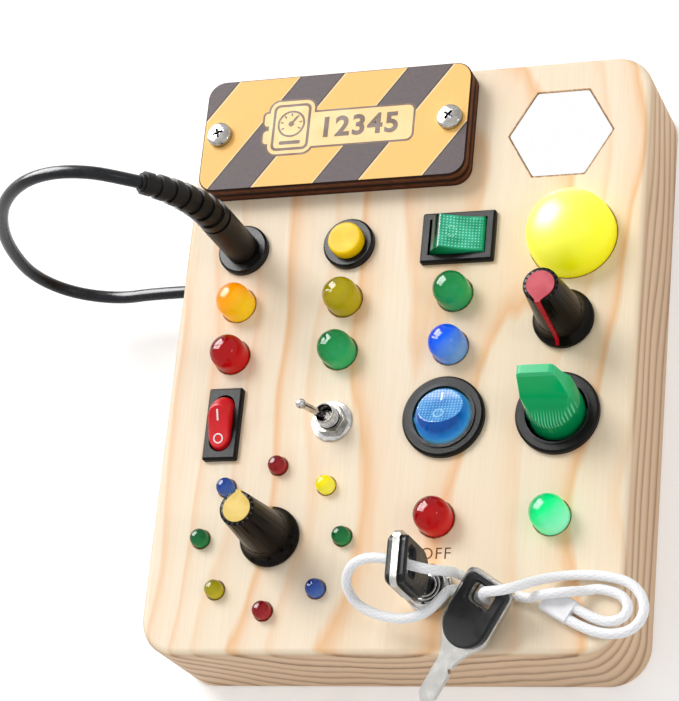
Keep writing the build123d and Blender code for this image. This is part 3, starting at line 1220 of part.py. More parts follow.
# ---------------------------------------------------------------- terminals
rocker_places = [((COLUMN_3, ROW_TOP), 180), ((COLUMN_1, ROW_SWITCH), 90), ((COLUMN_3, ROW_SWITCH), -90),
                 ((COLUMN_4, ROW_SWITCH), -90)]
tagged_bodies = [((COLUMN_1, ROW_TOP), -JACK_BODY), ((COLUMN_2, ROW_TOP), -BUTTON_BODY),
                 ((COLUMN_3, LOCK_Y), -LOCK_BODY), ((COLUMN_4, RED_KNOB_Y), -SKIN - POT_DEPTH)]
with BuildPart() as switch_terminals:
    for (x, y), heading in rocker_places:
        with BuildSketch(Plane(origin=(x, y, FACE - ROCKER_BODY),
                               x_dir=(cos(radians(heading)), sin(radians(heading)), 0), z_dir=(0, 0, 1))):
            with GridLocations(BLADE_PITCH, 0, 2, 1):
                Rectangle(BLADE[0], BLADE[1])
        extrude(amount=-BLADE[2])
    for (x, y), foot in tagged_bodies:
        with BuildSketch(Plane(origin=(x, y, FACE + foot))):
            with GridLocations(TAG_PITCH, 0, 2, 1):
                Rectangle(TAG[1], TAG[0])
        extrude(amount=-TAG[2])
    with BuildSketch(Plane(origin=(*toggle_at, FACE + toggle_floor))):
        with GridLocations(TOGGLE_PIN_PITCH, 0, 3, 1):
            Rectangle(TOGGLE_PIN[1], TOGGLE_PIN[0])
    extrude(amount=-TOGGLE_PIN[2])
    with BuildSketch(Plane(origin=(*LAMP_RING, UNDER - ROTARY_DEPTH))):
        with PolarLocations(ROTARY_TAGS_R, LAMP_RING_COUNT):
            Rectangle(TAG[1], TAG[0])
    extrude(amount=-TAG[2])
save(switch_terminals, "switch_terminals")
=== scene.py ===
"""Looks of a wooden busy board: a pine case with switches, lamps, knobs, a key switch and a lead.

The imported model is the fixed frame. Every piece below is modelled at its own place on it, in the
same frame: X across the board, Y up its face and Z out of the face. Sizes are in millimetres and
become metres where a mesh is made.
"""

import logging
import math
from collections.abc import Callable, Iterator, Sequence
from contextlib import contextmanager
from dataclasses import dataclass
from enum import Enum

import bpy
from mathutils import Matrix, Vector


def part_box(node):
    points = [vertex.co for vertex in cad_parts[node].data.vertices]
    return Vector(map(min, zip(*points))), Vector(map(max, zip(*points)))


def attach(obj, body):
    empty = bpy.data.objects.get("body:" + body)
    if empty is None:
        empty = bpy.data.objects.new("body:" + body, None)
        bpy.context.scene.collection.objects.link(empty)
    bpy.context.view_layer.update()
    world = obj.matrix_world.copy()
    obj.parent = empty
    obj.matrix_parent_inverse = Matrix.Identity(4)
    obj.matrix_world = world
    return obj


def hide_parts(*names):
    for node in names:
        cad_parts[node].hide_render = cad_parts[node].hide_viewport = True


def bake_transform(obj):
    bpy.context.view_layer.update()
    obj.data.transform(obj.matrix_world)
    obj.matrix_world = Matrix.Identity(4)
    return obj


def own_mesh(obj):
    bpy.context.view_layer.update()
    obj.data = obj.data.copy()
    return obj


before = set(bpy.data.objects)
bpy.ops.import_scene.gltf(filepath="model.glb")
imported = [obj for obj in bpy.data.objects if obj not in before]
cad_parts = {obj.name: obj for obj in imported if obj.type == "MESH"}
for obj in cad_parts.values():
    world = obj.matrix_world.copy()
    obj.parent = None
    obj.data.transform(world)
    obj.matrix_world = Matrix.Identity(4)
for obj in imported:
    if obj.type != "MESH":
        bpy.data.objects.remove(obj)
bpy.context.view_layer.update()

LOG = logging.getLogger("busy_board")
MM = 0.001
POLE = 0.004                            # radius at which a turned piece is closed
PINCH = 2.4 * POLE                      # points of a pole nearer than this are joined
WELD = 0.002                            # corners nearer than this are joined
FACE = 32.0                             # height of the case's face
RIM_Z = FACE + 2.05                     # height above which a bezel's rim carries a painted highlight
COLUMNS = (-48.9, -17.1, 14.9, 46.4)    # X of the columns of lamps and switches
LAMP_ROWS = (16.0, 0.3, -48.6)          # Y of the rows of large lamps
SWITCH_ROW = -20.1                      # Y of the row of rockers, paddle and toggle
DOME_AT = (47.2, 31.3)                  # middle of the warning lamp
DIAL_AT = (-31.4, -53.0)                # middle of the yellow dial
RING_R = 20.5                           # radius of the ring of small lamps about that dial
Spot = tuple[float, float]
Point = tuple[float, float, float]
Outline = Sequence[Spot]
Socket = bpy.types.NodeSocket
Piece = bpy.types.Object


# ------------------------------------------------------------------ colour and nodes
def paint(code: str) -> tuple[float, float, float, float]:
    """Linear colour of a hexadecimal paint code.

    Args:
        code: the colour as it is seen, such as "#F5E4CB".

    Returns:
        Red, green, blue and 1.
    """
    seen = [int(code[i:i + 2], 16) / 255 for i in (1, 3, 5)]
    return (*(v / 12.92 if v < 0.04045 else ((v + 0.055) / 1.055) ** 2.4 for v in seen), 1.0)


class Recipe:
    """The nodes of one finish, or of the sky, added and linked in the order they are mixed."""

    def __init__(self, owner: bpy.types.Material | bpy.types.World) -> None:
        """Start without nodes.

        Args:
            owner: the material or the world that the nodes are mixed for.
        """
        owner.use_nodes = True
        self.owner = owner
        self.tree = owner.node_tree
        self.tree.nodes.clear()

    def add(self, kind: str, inputs: dict | None = None, **settings: object) -> bpy.types.Node:
        """Add a node.

        Args:
            kind: Blender's name for the node.
            inputs: values or sockets for its inputs, by name or number.
            settings: the node's own options.

        Returns:
            The node.
        """
        node = self.tree.nodes.new(kind)
        for key, value in settings.items():
            setattr(node, key, value)
        for key, value in (inputs or {}).items():
            self.put(node.inputs[key], value)
        return node

    def put(self, socket: Socket, value: object) -> None:
        """Link a socket to an input, or write a constant straight onto it.

        Args:
            socket: the input.
            value: the socket or the constant.
        """
        if isinstance(value, bpy.types.NodeSocket):
            self.tree.links.new(value, socket)
        else:
            socket.default_value = value

    def point(self) -> Socket:
        """The place on the piece, in millimetres of the shared frame."""
        inputs = {0: self.add("ShaderNodeTexCoord").outputs["Object"], "Scale": 1000.0}
        return self.add("ShaderNodeVectorMath", inputs, operation="SCALE").outputs[0]

    def stretched(self, point: Socket, rate: Point) -> Socket:
        """A point with each of its coordinates multiplied by its own rate."""
        return self.add("ShaderNodeVectorMath", {0: point, 1: rate}, operation="MULTIPLY").outputs[0]

    def parts(self, point: Socket) -> tuple[Socket, Socket, Socket]:
        """X, Y and Z of a vector."""
        split = self.add("ShaderNodeSeparateXYZ", {0: point})
        return split.outputs[0], split.outputs[1], split.outputs[2]

    def math(self, operation: str, *values: object) -> Socket:
        """One sum on two or three values.

        Args:
            operation: Blender's name of the sum.
            values: numbers or sockets.

        Returns:
            The result.
        """
        return self.add("ShaderNodeMath", dict(enumerate(values)), operation=operation).outputs[0]

    def noise(self, point: Socket, rate: Point, detail: float, colour: bool = False) -> Socket:
        """Soft noise with its own rate per millimetre along each axis.

        Args:
            point: where it is read.
            rate: waves per millimetre in X, Y and Z.
            detail: octaves.
            colour: three independent values rather than one.

        Returns:
            The noise, centred on a half.
        """
        cloud = self.add("ShaderNodeTexNoise", {
            "Vector": self.stretched(point, rate), "Scale": 1.0, "Detail": detail, "Roughness": 0.55})
        return cloud.outputs["Color" if colour else 0]

    def ramp(self, value: Socket, stops: Sequence[tuple[float, str]], stepped: bool = False) -> Socket:
        """A run of colours along a value.

        Args:
            value: 0 to 1.
            stops: place and colour of each stop, in order.
            stepped: hard edges rather than blends.

        Returns:
            The colour.
        """
        node = self.add("ShaderNodeValToRGB", {0: value})
        ramp = node.color_ramp
        ramp.interpolation = "CONSTANT" if stepped else "LINEAR"
        while len(ramp.elements) < len(stops):
            ramp.elements.new(0.5)
        for element, (place, code) in zip(ramp.elements, stops):
            element.position = place
            element.color = paint(code)
        return node.outputs[0]

    def mix(self, share: object, low: object, high: object) -> Socket:
        """Blend two colours.

        Args:
            share: how much of the second, 0 to 1.
            low: the first colour, as a code or a socket.
            high: the second colour.

        Returns:
            The blended colour.
        """
        node = self.add("ShaderNodeMix", data_type="RGBA")
        self.put(node.inputs[0], share)
        for place, value in ((6, low), (7, high)):
            self.put(node.inputs[place], paint(value) if isinstance(value, str) else value)
        return node.outputs[2]

    def band(self, value: Socket, low: float, high: float, first: float = 0.0, last: float = 1.0) -> Socket:
        """A value carried smoothly from one range to another and held beyond it."""
        inputs = {0: value, 1: low, 2: high, 3: first, 4: last}
        return self.add("ShaderNodeMapRange", inputs, interpolation_type="SMOOTHSTEP").outputs[0]

    def bump(self, height: Socket, depth: float) -> Socket:
        """A normal raised by a height, whose full swing is a depth in millimetres."""
        inputs = {"Height": height, "Distance": depth * MM, "Strength": 1.0}
        return self.add("ShaderNodeBump", inputs).outputs[0]

    def facing(self) -> tuple[Socket, Socket, Socket]:
        """X, Y and Z of the way the surface faces."""
        return self.parts(self.add("ShaderNodeNewGeometry").outputs["Normal"])

    def written(self, name: str) -> Socket:
        """The value of this name that is written on the corners of a piece."""
        return self.add("ShaderNodeAttribute", attribute_name=name).outputs["Fac"]

    def seen(self) -> Socket:
        """1 on rays that show the background: from the camera, in gloss and through glass.

        Returns:
            1 on those rays and 0 on all others.
        """
        ray = self.add("ShaderNodeLightPath").outputs
        most = self.math("MAXIMUM", ray["Is Camera Ray"], ray["Is Glossy Ray"])
        return self.math("MAXIMUM", most, ray["Is Transmission Ray"])

    def finish(self, **inputs: object) -> bpy.types.Material:
        """Add the shader with its inputs and hand over the material.

        Args:
            inputs: the shader's inputs, with underscores for spaces.

        Returns:
            The material.
        """
        shader = self.add("ShaderNodeBsdfPrincipled")
        for key, value in inputs.items():
            value = paint(value) if isinstance(value, str) else value
            self.put(shader.inputs[key.replace("_", " ")], value)
        self.add("ShaderNodeOutputMaterial", {0: shader.outputs[0]})
        return self.owner


class Finish:
    """A finish that is mixed once and then shared by every piece that has it."""

    def material(self) -> bpy.types.Material:
        """The material of this finish, mixed the first time it is asked for."""
        label = f"{self.name}_finish"
        return bpy.data.materials.get(label) or self.mixed(Recipe(bpy.data.materials.new(label)))

    def mixed(self, recipe: Recipe) -> bpy.types.Material:
        """Mix the finish; each kind of finish does this in its own way."""
        raise NotImplementedError


@dataclass(frozen=True)
class Pine(Finish):
    """Flat-sawn pine: growth rings about a pith that lies in front of the face."""

    name: str = "pine"
    early: str = "#F4E3C9"
    late: str = "#EDB67C"
    # colours of the cut sides: their own grain, darkened by painted shade
    side_early: str = "#E4C3A1"
    side_late: str = "#835B3F"
    ring: float = 5.4
    pith: tuple[float, float] = (10.0, 124.0)

    def mixed(self, recipe: Recipe) -> bpy.types.Material:
        """Rings that wander along the trunk, fibres along Y, and crisp latewood on the cut sides, which are
        darkened by painted shade.

        Args:
            recipe: the recipe to fill.

        Returns:
            The material.
        """
        point = recipe.point()
        x, _, z = recipe.parts(point)
        drift_x, drift_z, warmth = recipe.parts(recipe.noise(point, (0.016, 0.0075, 0.012), 1.5, True))
        across = recipe.math("MULTIPLY_ADD", drift_x, 52.0, recipe.math("SUBTRACT", x, self.pith[0] + 26))
        deep = recipe.math("MULTIPLY_ADD", drift_z, 20.0, recipe.math("SUBTRACT", z, self.pith[1] + 10))
        wobble = recipe.noise(point, (0.14, 0.018, 0.14), 2.0)
        square_x, square_z = (recipe.math("POWER", recipe.math("ABSOLUTE", v), 2.0) for v in (across, deep))
        reach = recipe.math("SQRT", recipe.math("ADD", square_x, square_z))
        count = recipe.math("DIVIDE", recipe.math("MULTIPLY_ADD", wobble, 2.2, reach), self.ring)
        share = recipe.math("FRACT", count)
        age = recipe.add("ShaderNodeTexWhiteNoise", {"W": recipe.math("FLOOR", count)},
                         noise_dimensions="1D").outputs["Value"]
        strength = recipe.math("MULTIPLY_ADD", age, 0.6, 0.36)
        soft = recipe.ramp(share, [(0, "#000000"), (0.25, "#2A2A2A"), (0.62, "#909090"), (0.84, "#FFFFFF"),
                                   (0.91, "#C0C0C0"), (0.97, "#202020"), (1, "#000000")])
        crisp = recipe.ramp(share, [(0, "#606060"), (0.2, "#000000"), (0.45, "#505050"), (0.62, "#A8A8A8"),
                                    (0.78, "#E8E8E8"), (0.87, "#FFFFFF"), (0.95, "#C0C0C0"), (1, "#606060")])
        fibre = recipe.noise(point, (1.9, 0.045, 1.9), 3.0)
        patch = recipe.band(warmth, 0.45, 0.70, 0.0, 0.65)
        face = recipe.mix(patch, self.early, "#F1D2A8")
        face = recipe.mix(recipe.math("MULTIPLY", soft, strength), face, self.late)
        side = recipe.mix(recipe.math("MULTIPLY", crisp, recipe.math("MULTIPLY_ADD", age, 0.4, 0.55)),
                          self.side_early, self.side_late)
        # painted shade: faces turned away from the face take the darker side colours
        _, _, up = recipe.facing()
        turned_away = recipe.band(recipe.math("ABSOLUTE", up), 0.35, 0.85, 1.0, 0.0)
        wood = recipe.mix(turned_away, face, side)
        wood = recipe.mix(recipe.band(fibre, 0.35, 0.7, 0.0, 0.16), wood, "#E7C49A")
        grain = recipe.math("MULTIPLY_ADD", fibre, 0.7, recipe.math("MULTIPLY", soft, 0.3))
        return recipe.finish(Base_Color=wood, Roughness=recipe.band(fibre, 0.2, 0.8, 0.44, 0.6),
                             Specular_IOR_Level=0.12, Normal=recipe.bump(grain, 0.03))


@dataclass(frozen=True)
class Veneer(Finish):
    """Pale plywood with a fine straight grain and a darker sawn edge."""

    name: str = "veneer"
    pale: str = "#F2DDBE"
    dark: str = "#DDB98C"

    def mixed(self, recipe: Recipe) -> bpy.types.Material:
        """Straight fibres with small pores.

        Args:
            recipe: the recipe to fill.

        Returns:
            The material.
        """
        point = recipe.point()
        fibre = recipe.noise(point, (1.3, 0.03, 1.3), 3.0)
        broad = recipe.noise(point, (0.09, 0.012, 0.09), 2.0)
        wood = recipe.mix(recipe.band(broad, 0.35, 0.7, 0.0, 0.6), self.pale, "#EBCFA6")
        wood = recipe.mix(recipe.band(fibre, 0.45, 0.75, 0.0, 0.5), wood, self.dark)
        return recipe.finish(Base_Color=wood, Roughness=0.55, Specular_IOR_Level=0.3,
                             Normal=recipe.bump(fibre, 0.03))


@dataclass(frozen=True)
class HazardBoard(Finish):
    """Three-ply board with printed hazard stripes and an edge burnt by the laser that cut it."""

    name: str = "hazard_board"
    yellow: str = "#FFC973"
    black: str = "#5D5458"
    line: str = "#3A2B26"
    pale: str = "#FFE3AE"
    slope: float = 53.5
    period: float = 32.5
    stripe: float = 13.6
    fringe: float = 0.5
    offset: float = 47.5
    centre_y: float = 66.5
    top: float = 39.0

    def mixed(self, recipe: Recipe) -> bpy.types.Material:
        """Slanted stripes with a thin burnt line and a thin pale line along each edge.

        Args:
            recipe: the recipe to fill.

        Returns:
            The material.
        """
        point = recipe.point()
        x, y, z = recipe.parts(point)
        lean = 1 / math.tan(math.radians(self.slope))
        along = recipe.math("MULTIPLY_ADD", recipe.math("SUBTRACT", y, self.centre_y), -lean, x)
        gone = recipe.math("ADD", along, self.offset + 10 * self.period)
        share = recipe.math("FRACT", recipe.math("DIVIDE", gone, self.period))
        thin = self.fringe / self.period
        wide = self.stripe / self.period
        stripes = recipe.ramp(share, [
            (0, self.line), (thin, self.black), (wide - thin, self.line), (wide, self.pale),
            (wide + thin, self.yellow), (1 - thin, self.pale)], True)
        speck = recipe.noise(point, (0.9, 0.9, 0.9), 3.0)
        ink = recipe.mix(recipe.band(speck, 0.3, 0.75, 0.0, 0.07), stripes, "#C8965C")
        height = recipe.math("DIVIDE", recipe.math("SUBTRACT", z, FACE), self.top - FACE)
        char = recipe.noise(point, (0.35, 0.35, 0.9), 3.0)
        plies = recipe.ramp(height, [
            (0, "#1B0E09"), (0.08, "#4B2416"), (0.30, "#6E3F27"), (0.40, "#38190F"), (0.46, "#0E0806"),
            (0.54, "#140B08"), (0.60, "#54301F"), (0.80, "#7A4A30"), (0.90, "#4A2517"), (0.97, "#241109")])
        edge = recipe.mix(recipe.band(char, 0.4, 0.75, 0.0, 0.6), plies, "#1A0C07")
        on_top = recipe.band(z, self.top - 0.06, self.top - 0.02)
        rough = recipe.math("ADD", speck, recipe.math("MULTIPLY", char, 0.6))
        return recipe.finish(Base_Color=recipe.mix(on_top, edge, ink), Roughness=0.6,
                             Specular_IOR_Level=0.1, Normal=recipe.bump(rough, 0.03))


@dataclass(frozen=True)
class Moulded(Finish):
    """Moulded plastic or rubber: one colour with a faint mottle and the skin of its mould."""

    name: str
    colour: str
    shade: str
    roughness: float = 0.38
    grain: float = 0.012
    gloss: float = 0.5
    depth: float = 0.0

    def mixed(self, recipe: Recipe) -> bpy.types.Material:
        """Mottled colour, mould skin, and a little light under the surface where it is translucent.

        Args:
            recipe: the recipe to fill.

        Returns:
            The material.
        """
        point = recipe.point()
        mottle = recipe.noise(point, (0.22, 0.22, 0.22), 3.0)
        skin = recipe.noise(point, (5.0, 5.0, 5.0), 2.0)
        colour = recipe.mix(recipe.band(mottle, 0.3, 0.7), self.colour, self.shade)
        rough = recipe.band(mottle, 0.3, 0.7, self.roughness * 0.85, self.roughness * 1.2)
        return recipe.finish(Base_Color=colour, Normal=recipe.bump(skin, self.grain), Roughness=rough,
                             Specular_IOR_Level=self.gloss, Subsurface_Weight=self.depth,
                             Subsurface_Radius=(1.0, 0.8, 0.6), Subsurface_Scale=0.0015)


@dataclass(frozen=True)
class Plated(Finish):
    """Plated or polished metal with fine wear."""

    name: str
    colour: str
    shade: str
    roughness: float = 0.12
    along: Point = (3.0, 3.0, 3.0)
    scratch: float = 0.004

    def mixed(self, recipe: Recipe) -> bpy.types.Material:
        """Metal with a cloudy polish and fine scratches along one way.

        Args:
            recipe: the recipe to fill.

        Returns:
            The material.
        """
        point = recipe.point()
        cloud = recipe.noise(point, (0.5, 0.5, 0.5), 3.0)
        lines = recipe.noise(point, self.along, 3.0)
        colour = recipe.mix(recipe.band(cloud, 0.3, 0.75), self.colour, self.shade)
        rough = recipe.band(cloud, 0.25, 0.75, self.roughness * 0.7, self.roughness * 1.5)
        return recipe.finish(Base_Color=colour, Metallic=1.0, Roughness=rough,
                             Normal=recipe.bump(lines, self.scratch))


class Light(Enum):
    """How strongly a lamp shines."""

    OFF = 0.0
    DIM = 0.05
    ON = 0.22


@dataclass(frozen=True)
class LampLens(Finish):
    """Tinted lens of a lamp with painted light and shade: deep at one side, and bright where the light
    gathers at the other.
    """

    name: str
    deep: str
    middle: str
    bright: str
    light: Light = Light.OFF

    def mixed(self, recipe: Recipe) -> bpy.types.Material:
        """Colour by the painted light and shade written on the lens, under a glossy skin.

        Args:
            recipe: the recipe to fill.

        Returns:
            The material.
        """
        # painted light and shade: the value written on the lens runs its colour from deep to bright
        glow = recipe.written("glow")
        swirl = recipe.noise(recipe.point(), (0.28, 0.28, 0.28), 2.0)
        place = recipe.math("MULTIPLY_ADD", recipe.math("SUBTRACT", swirl, 0.5), 0.25, glow)
        colour = recipe.ramp(place, [(0.0, self.deep), (0.45, self.middle), (1.0, self.bright)])
        return recipe.finish(Base_Color=colour, Roughness=0.06, Specular_IOR_Level=0.2,
                             Subsurface_Weight=0.2, Subsurface_Radius=(1.0, 1.0, 1.0),
                             Subsurface_Scale=0.0012, Emission_Color=colour,
                             Emission_Strength=self.light.value)


@dataclass(frozen=True)
class Prismatic(Finish):
    """Clear tinted plastic with a grid of small prisms moulded behind it."""

    name: str
    deep: str
    middle: str
    spark: str
    pitch: float = 0.85
    cover: float = 0.42
    glow: float = 0.0

    def mixed(self, recipe: Recipe) -> bpy.types.Material:
        """A grid of bright dots over a cloudy tint, under a gloss.

        Args:
            recipe: the recipe to fill.

        Returns:
            The material.
        """
        point = recipe.point()
        x, y, _ = recipe.parts(point)
        turn = 2 * math.pi / self.pitch
        wave_x = recipe.math("SINE", recipe.math("MULTIPLY", x, turn))
        wave_y = recipe.math("SINE", recipe.math("MULTIPLY", y, turn))
        dots = recipe.band(recipe.math("ADD", wave_x, wave_y), 2 * self.cover - 0.2, 1.7)
        cloud = recipe.noise(point, (0.16, 0.16, 0.16), 2.0)
        base = recipe.mix(recipe.band(cloud, 0.35, 0.65), self.deep, self.middle)
        sparks = recipe.math("MULTIPLY", dots, recipe.band(cloud, 0.3, 0.7, 0.45, 1.0))
        colour = recipe.mix(sparks, base, self.spark)
        return recipe.finish(Base_Color=colour, Roughness=0.12, Specular_IOR_Level=0.18,
                             Emission_Color=colour, Emission_Strength=self.glow,
                             Subsurface_Weight=0.2, Subsurface_Radius=(1.0, 1.0, 1.0), Subsurface_Scale=0.001)


@dataclass(frozen=True)
class PaddleGreen(Finish):
    """Clear green plastic of the paddle, ribbed inside the foot of its bill."""

    name: str = "paddle_green"
    deep: str = "#037C48"
    middle: str = "#02BA6C"
    pale: str = "#70E2B2"
    rib: float = 0.8
    low: float = 39.2
    high: float = 44.5
    tip: float = 55.0

    def mixed(self, recipe: Recipe) -> bpy.types.Material:
        """Darker towards the foot, with a fine ribbing above the foot that carries a painted highlight, and a
        pale strip at the tip.

        Args:
            recipe: the recipe to fill.

        Returns:
            The material.
        """
        point = recipe.point()
        x, _, z = recipe.parts(point)
        _, out, _ = recipe.facing()
        cloud = recipe.noise(point, (0.2, 0.2, 0.12), 2.0)
        up = recipe.band(recipe.math("MULTIPLY_ADD", cloud, 4.0, z), 34.0, 54.0)
        base = recipe.mix(up, self.deep, self.middle)
        wave = recipe.math("SINE", recipe.math("MULTIPLY", x, 2 * math.pi / self.rib))
        region = recipe.math("MULTIPLY", recipe.band(z, self.low, self.low + 0.4),
                             recipe.band(z, self.high - 2.5, self.high, 1.0, 0.0))
        region = recipe.math("MULTIPLY", region, recipe.band(out, -0.35, -0.2, 1.0, 0.0))
        # moulded ribbing, painted pale as a highlight on the faces that look out
        ribs_and_highlight = recipe.math("MULTIPLY", recipe.band(wave, -0.2, 0.9), region)
        colour = recipe.mix(recipe.math("MULTIPLY", ribs_and_highlight, 0.85), base, self.pale)
        strip = recipe.band(z, self.tip - 0.6, self.tip, 0.0, 0.3)
        colour = recipe.mix(strip, colour, self.pale)
        dull = recipe.band(z, self.tip - 0.5, self.tip - 0.1)
        return recipe.finish(Base_Color=colour, Roughness=recipe.math("MULTIPLY_ADD", dull, 0.34, 0.08),
                             Specular_IOR_Level=0.12, Normal=recipe.bump(ribs_and_highlight, 0.12), Subsurface_Weight=0.25,
                             Subsurface_Radius=(1.0, 1.0, 1.0), Subsurface_Scale=0.0015)


@dataclass(frozen=True)
class FrostedDome(Finish):
    """Frosted fluorescent plastic with a painted highlight where it stands up to the light, and painted light
    from an even emission that lifts its shade.
    """

    name: str = "frosted_dome"
    deep: str = "#E8E000"
    middle: str = "#FBF800"
    bright: str = "#FFFF60"

    def mixed(self, recipe: Recipe) -> bpy.types.Material:
        """Colour by the painted highlight written on the dome, with a fine frost.

        Args:
            recipe: the recipe to fill.

        Returns:
            The material.
        """
        glow = recipe.written("glow")
        frost = recipe.noise(recipe.point(), (4.0, 4.0, 4.0), 2.0)
        colour = recipe.ramp(glow, [(0.0, self.deep), (0.5, self.middle), (1.0, self.bright)])
        # painted light: an even emission lifts the dome's shade
        return recipe.finish(Base_Color=colour, Roughness=0.42, Specular_IOR_Level=0.6, Subsurface_Weight=0.3,
                             Subsurface_Radius=(1.0, 1.0, 0.2), Subsurface_Scale=0.003,
                             Emission_Color=colour, Emission_Strength=0.27, Normal=recipe.bump(frost, 0.01))


@dataclass(frozen=True)
class Braid(Finish):
    """White polyester braid, shaded in the valleys between its strands."""

    name: str = "cord_braid"
    high: str = "#FFFFFF"
    low: str = "#C6C8CE"

    def mixed(self, recipe: Recipe) -> bpy.types.Material:
        """Colour by the height of the braid, with fine yarn lines.

        Args:
            recipe: the recipe to fill.

        Returns:
            The material.
        """
        height = recipe.written("braid")
        yarn = recipe.noise(recipe.point(), (6.0, 6.0, 6.0), 2.0)
        colour = recipe.ramp(height, [(0.0, self.low), (0.4, "#F2F2F5"), (1.0, self.high)])
        colour = recipe.mix(recipe.band(yarn, 0.35, 0.75, 0.0, 0.25), colour, "#E2E3E8")
        return recipe.finish(Base_Color=colour, Roughness=0.62, Specular_IOR_Level=0.3, Sheen_Weight=0.2,
                             Sheen_Roughness=0.5, Normal=recipe.bump(yarn, 0.02))


@dataclass(frozen=True)
class Scorch(Finish):
    """Burnt rim of a laser-cut hole: char at the cut, toasted wood beyond it."""

    name: str = "scorched_rim"

    def mixed(self, recipe: Recipe) -> bpy.types.Material:
        """Colour by the distance from the cut, broken up by the grain.

        Args:
            recipe: the recipe to fill.

        Returns:
            The material.
        """
        away = recipe.written("away")
        grain = recipe.noise(recipe.point(), (1.2, 0.5, 1.2), 2.0)
        place = recipe.math("MULTIPLY_ADD", recipe.math("SUBTRACT", grain, 0.5), 0.9, away)
        colour = recipe.ramp(place, [(0.0, "#24140C"), (0.4, "#6A4325"), (0.75, "#C79A66"), (1.0, "#EBCFA4")])
        return recipe.finish(Base_Color=colour, Roughness=0.7, Specular_IOR_Level=0.2,
                             Normal=recipe.bump(grain, 0.02))


@dataclass(frozen=True)
class CircuitResist(Finish):
    """Green solder resist over copper tracks."""

    name: str = "solder_resist"

    def mixed(self, recipe: Recipe) -> bpy.types.Material:
        """Tracks as square cells under the resist.

        Args:
            recipe: the recipe to fill.

        Returns:
            The material.
        """
        point = recipe.point()
        inputs = {"Vector": recipe.stretched(point, (0.35, 0.35, 0.0)), "Scale": 1.0, "Randomness": 1.0}
        cells = recipe.add("ShaderNodeTexVoronoi", inputs, distance="CHEBYCHEV",
                           feature="F1").outputs["Distance"]
        track = recipe.band(recipe.math("PINGPONG", cells, 0.12), 0.05, 0.07)
        return recipe.finish(Base_Color=recipe.mix(track, "#0E5A34", "#1E8450"), Roughness=0.35,
                             Normal=recipe.bump(track, 0.03))


@dataclass(frozen=True)
class CellSleeve(Finish):
    """Printed sleeve of a battery: dark, with a copper-coloured end."""

    name: str = "cell_sleeve"
    start: float = -47.5
    end: float = 1.5

    def mixed(self, recipe: Recipe) -> bpy.types.Material:
        """A copper band at one end and bare steel at both.

        Args:
            recipe: the recipe to fill.

        Returns:
            The material.
        """
        point = recipe.point()
        x, _, _ = recipe.parts(point)
        share = recipe.math("DIVIDE", recipe.math("SUBTRACT", x, self.start), self.end - self.start)
        scuff = recipe.noise(point, (0.6, 0.6, 0.6), 3.0)
        bands = [(0.0, "#B9B9B6"), (0.03, "#25262B"), (0.70, "#B0713C"), (0.97, "#B9B9B6")]
        colour = recipe.ramp(share, bands, True)
        return recipe.finish(Base_Color=recipe.mix(recipe.band(scuff, 0.4, 0.8, 0.0, 0.3), colour, "#6A6662"),
                             Roughness=0.35, Normal=recipe.bump(scuff, 0.01))


BLACK = Moulded("black_plastic", "#0D0C0B", "#171615", 0.30, 0.014, 0.16)
BEZEL = Moulded("black_bezel", "#0C0C0B", "#161514", 0.34, 0.03, 0.12)
# painted highlight: a lighter grey for the top of a bezel's rim
BEZEL_RIM_HIGHLIGHT = Moulded("bezel_rim_highlight", "#242426", "#1B1B1D", 0.2, 0.01, 0.25)
KNOB = Moulded("knob_black", "#0A0705", "#140E0A", 0.2, 0.008, 0.09)
KEY_COVER = Moulded("key_cover_black", "#101011", "#1C1C1E", 0.30, 0.02, 0.24)
PLUG_RUBBER = Moulded("plug_rubber", "#0D0B0A", "#18130F", 0.38, 0.02, 0.22)
LEAD_RUBBER = Moulded("lead_rubber", "#0E0F12", "#191B20", 0.25, 0.01, 0.26)
CHROME = Plated("bright_chrome", "#D2D0CD", "#A5A3A0", 0.06, scratch=0.0012)
NICKEL = Plated("nickel_plate", "#B8B5B0", "#8F8C87", 0.12)
# painted shade: dark metal for the bore and the thread roots of the toggle's bush
PAINTED_SHADE_STEEL = Plated("thread_shade", "#6E6B66", "#4C4A46", 0.2)
STEEL = Plated("key_steel", "#C2C0BC", "#B0AEAA", 0.18, (0.6, 7.0, 0.6), 0.006)
# dark steel of the lock's core, and painted shade in the cross recesses of the sign's screws
DARK_STEEL_AND_RECESS_SHADE = Plated("dark_steel", "#55565A", "#37383B", 0.2)
BRASS = Plated("tinned_brass", "#D9C48A", "#B9A063", 0.25)


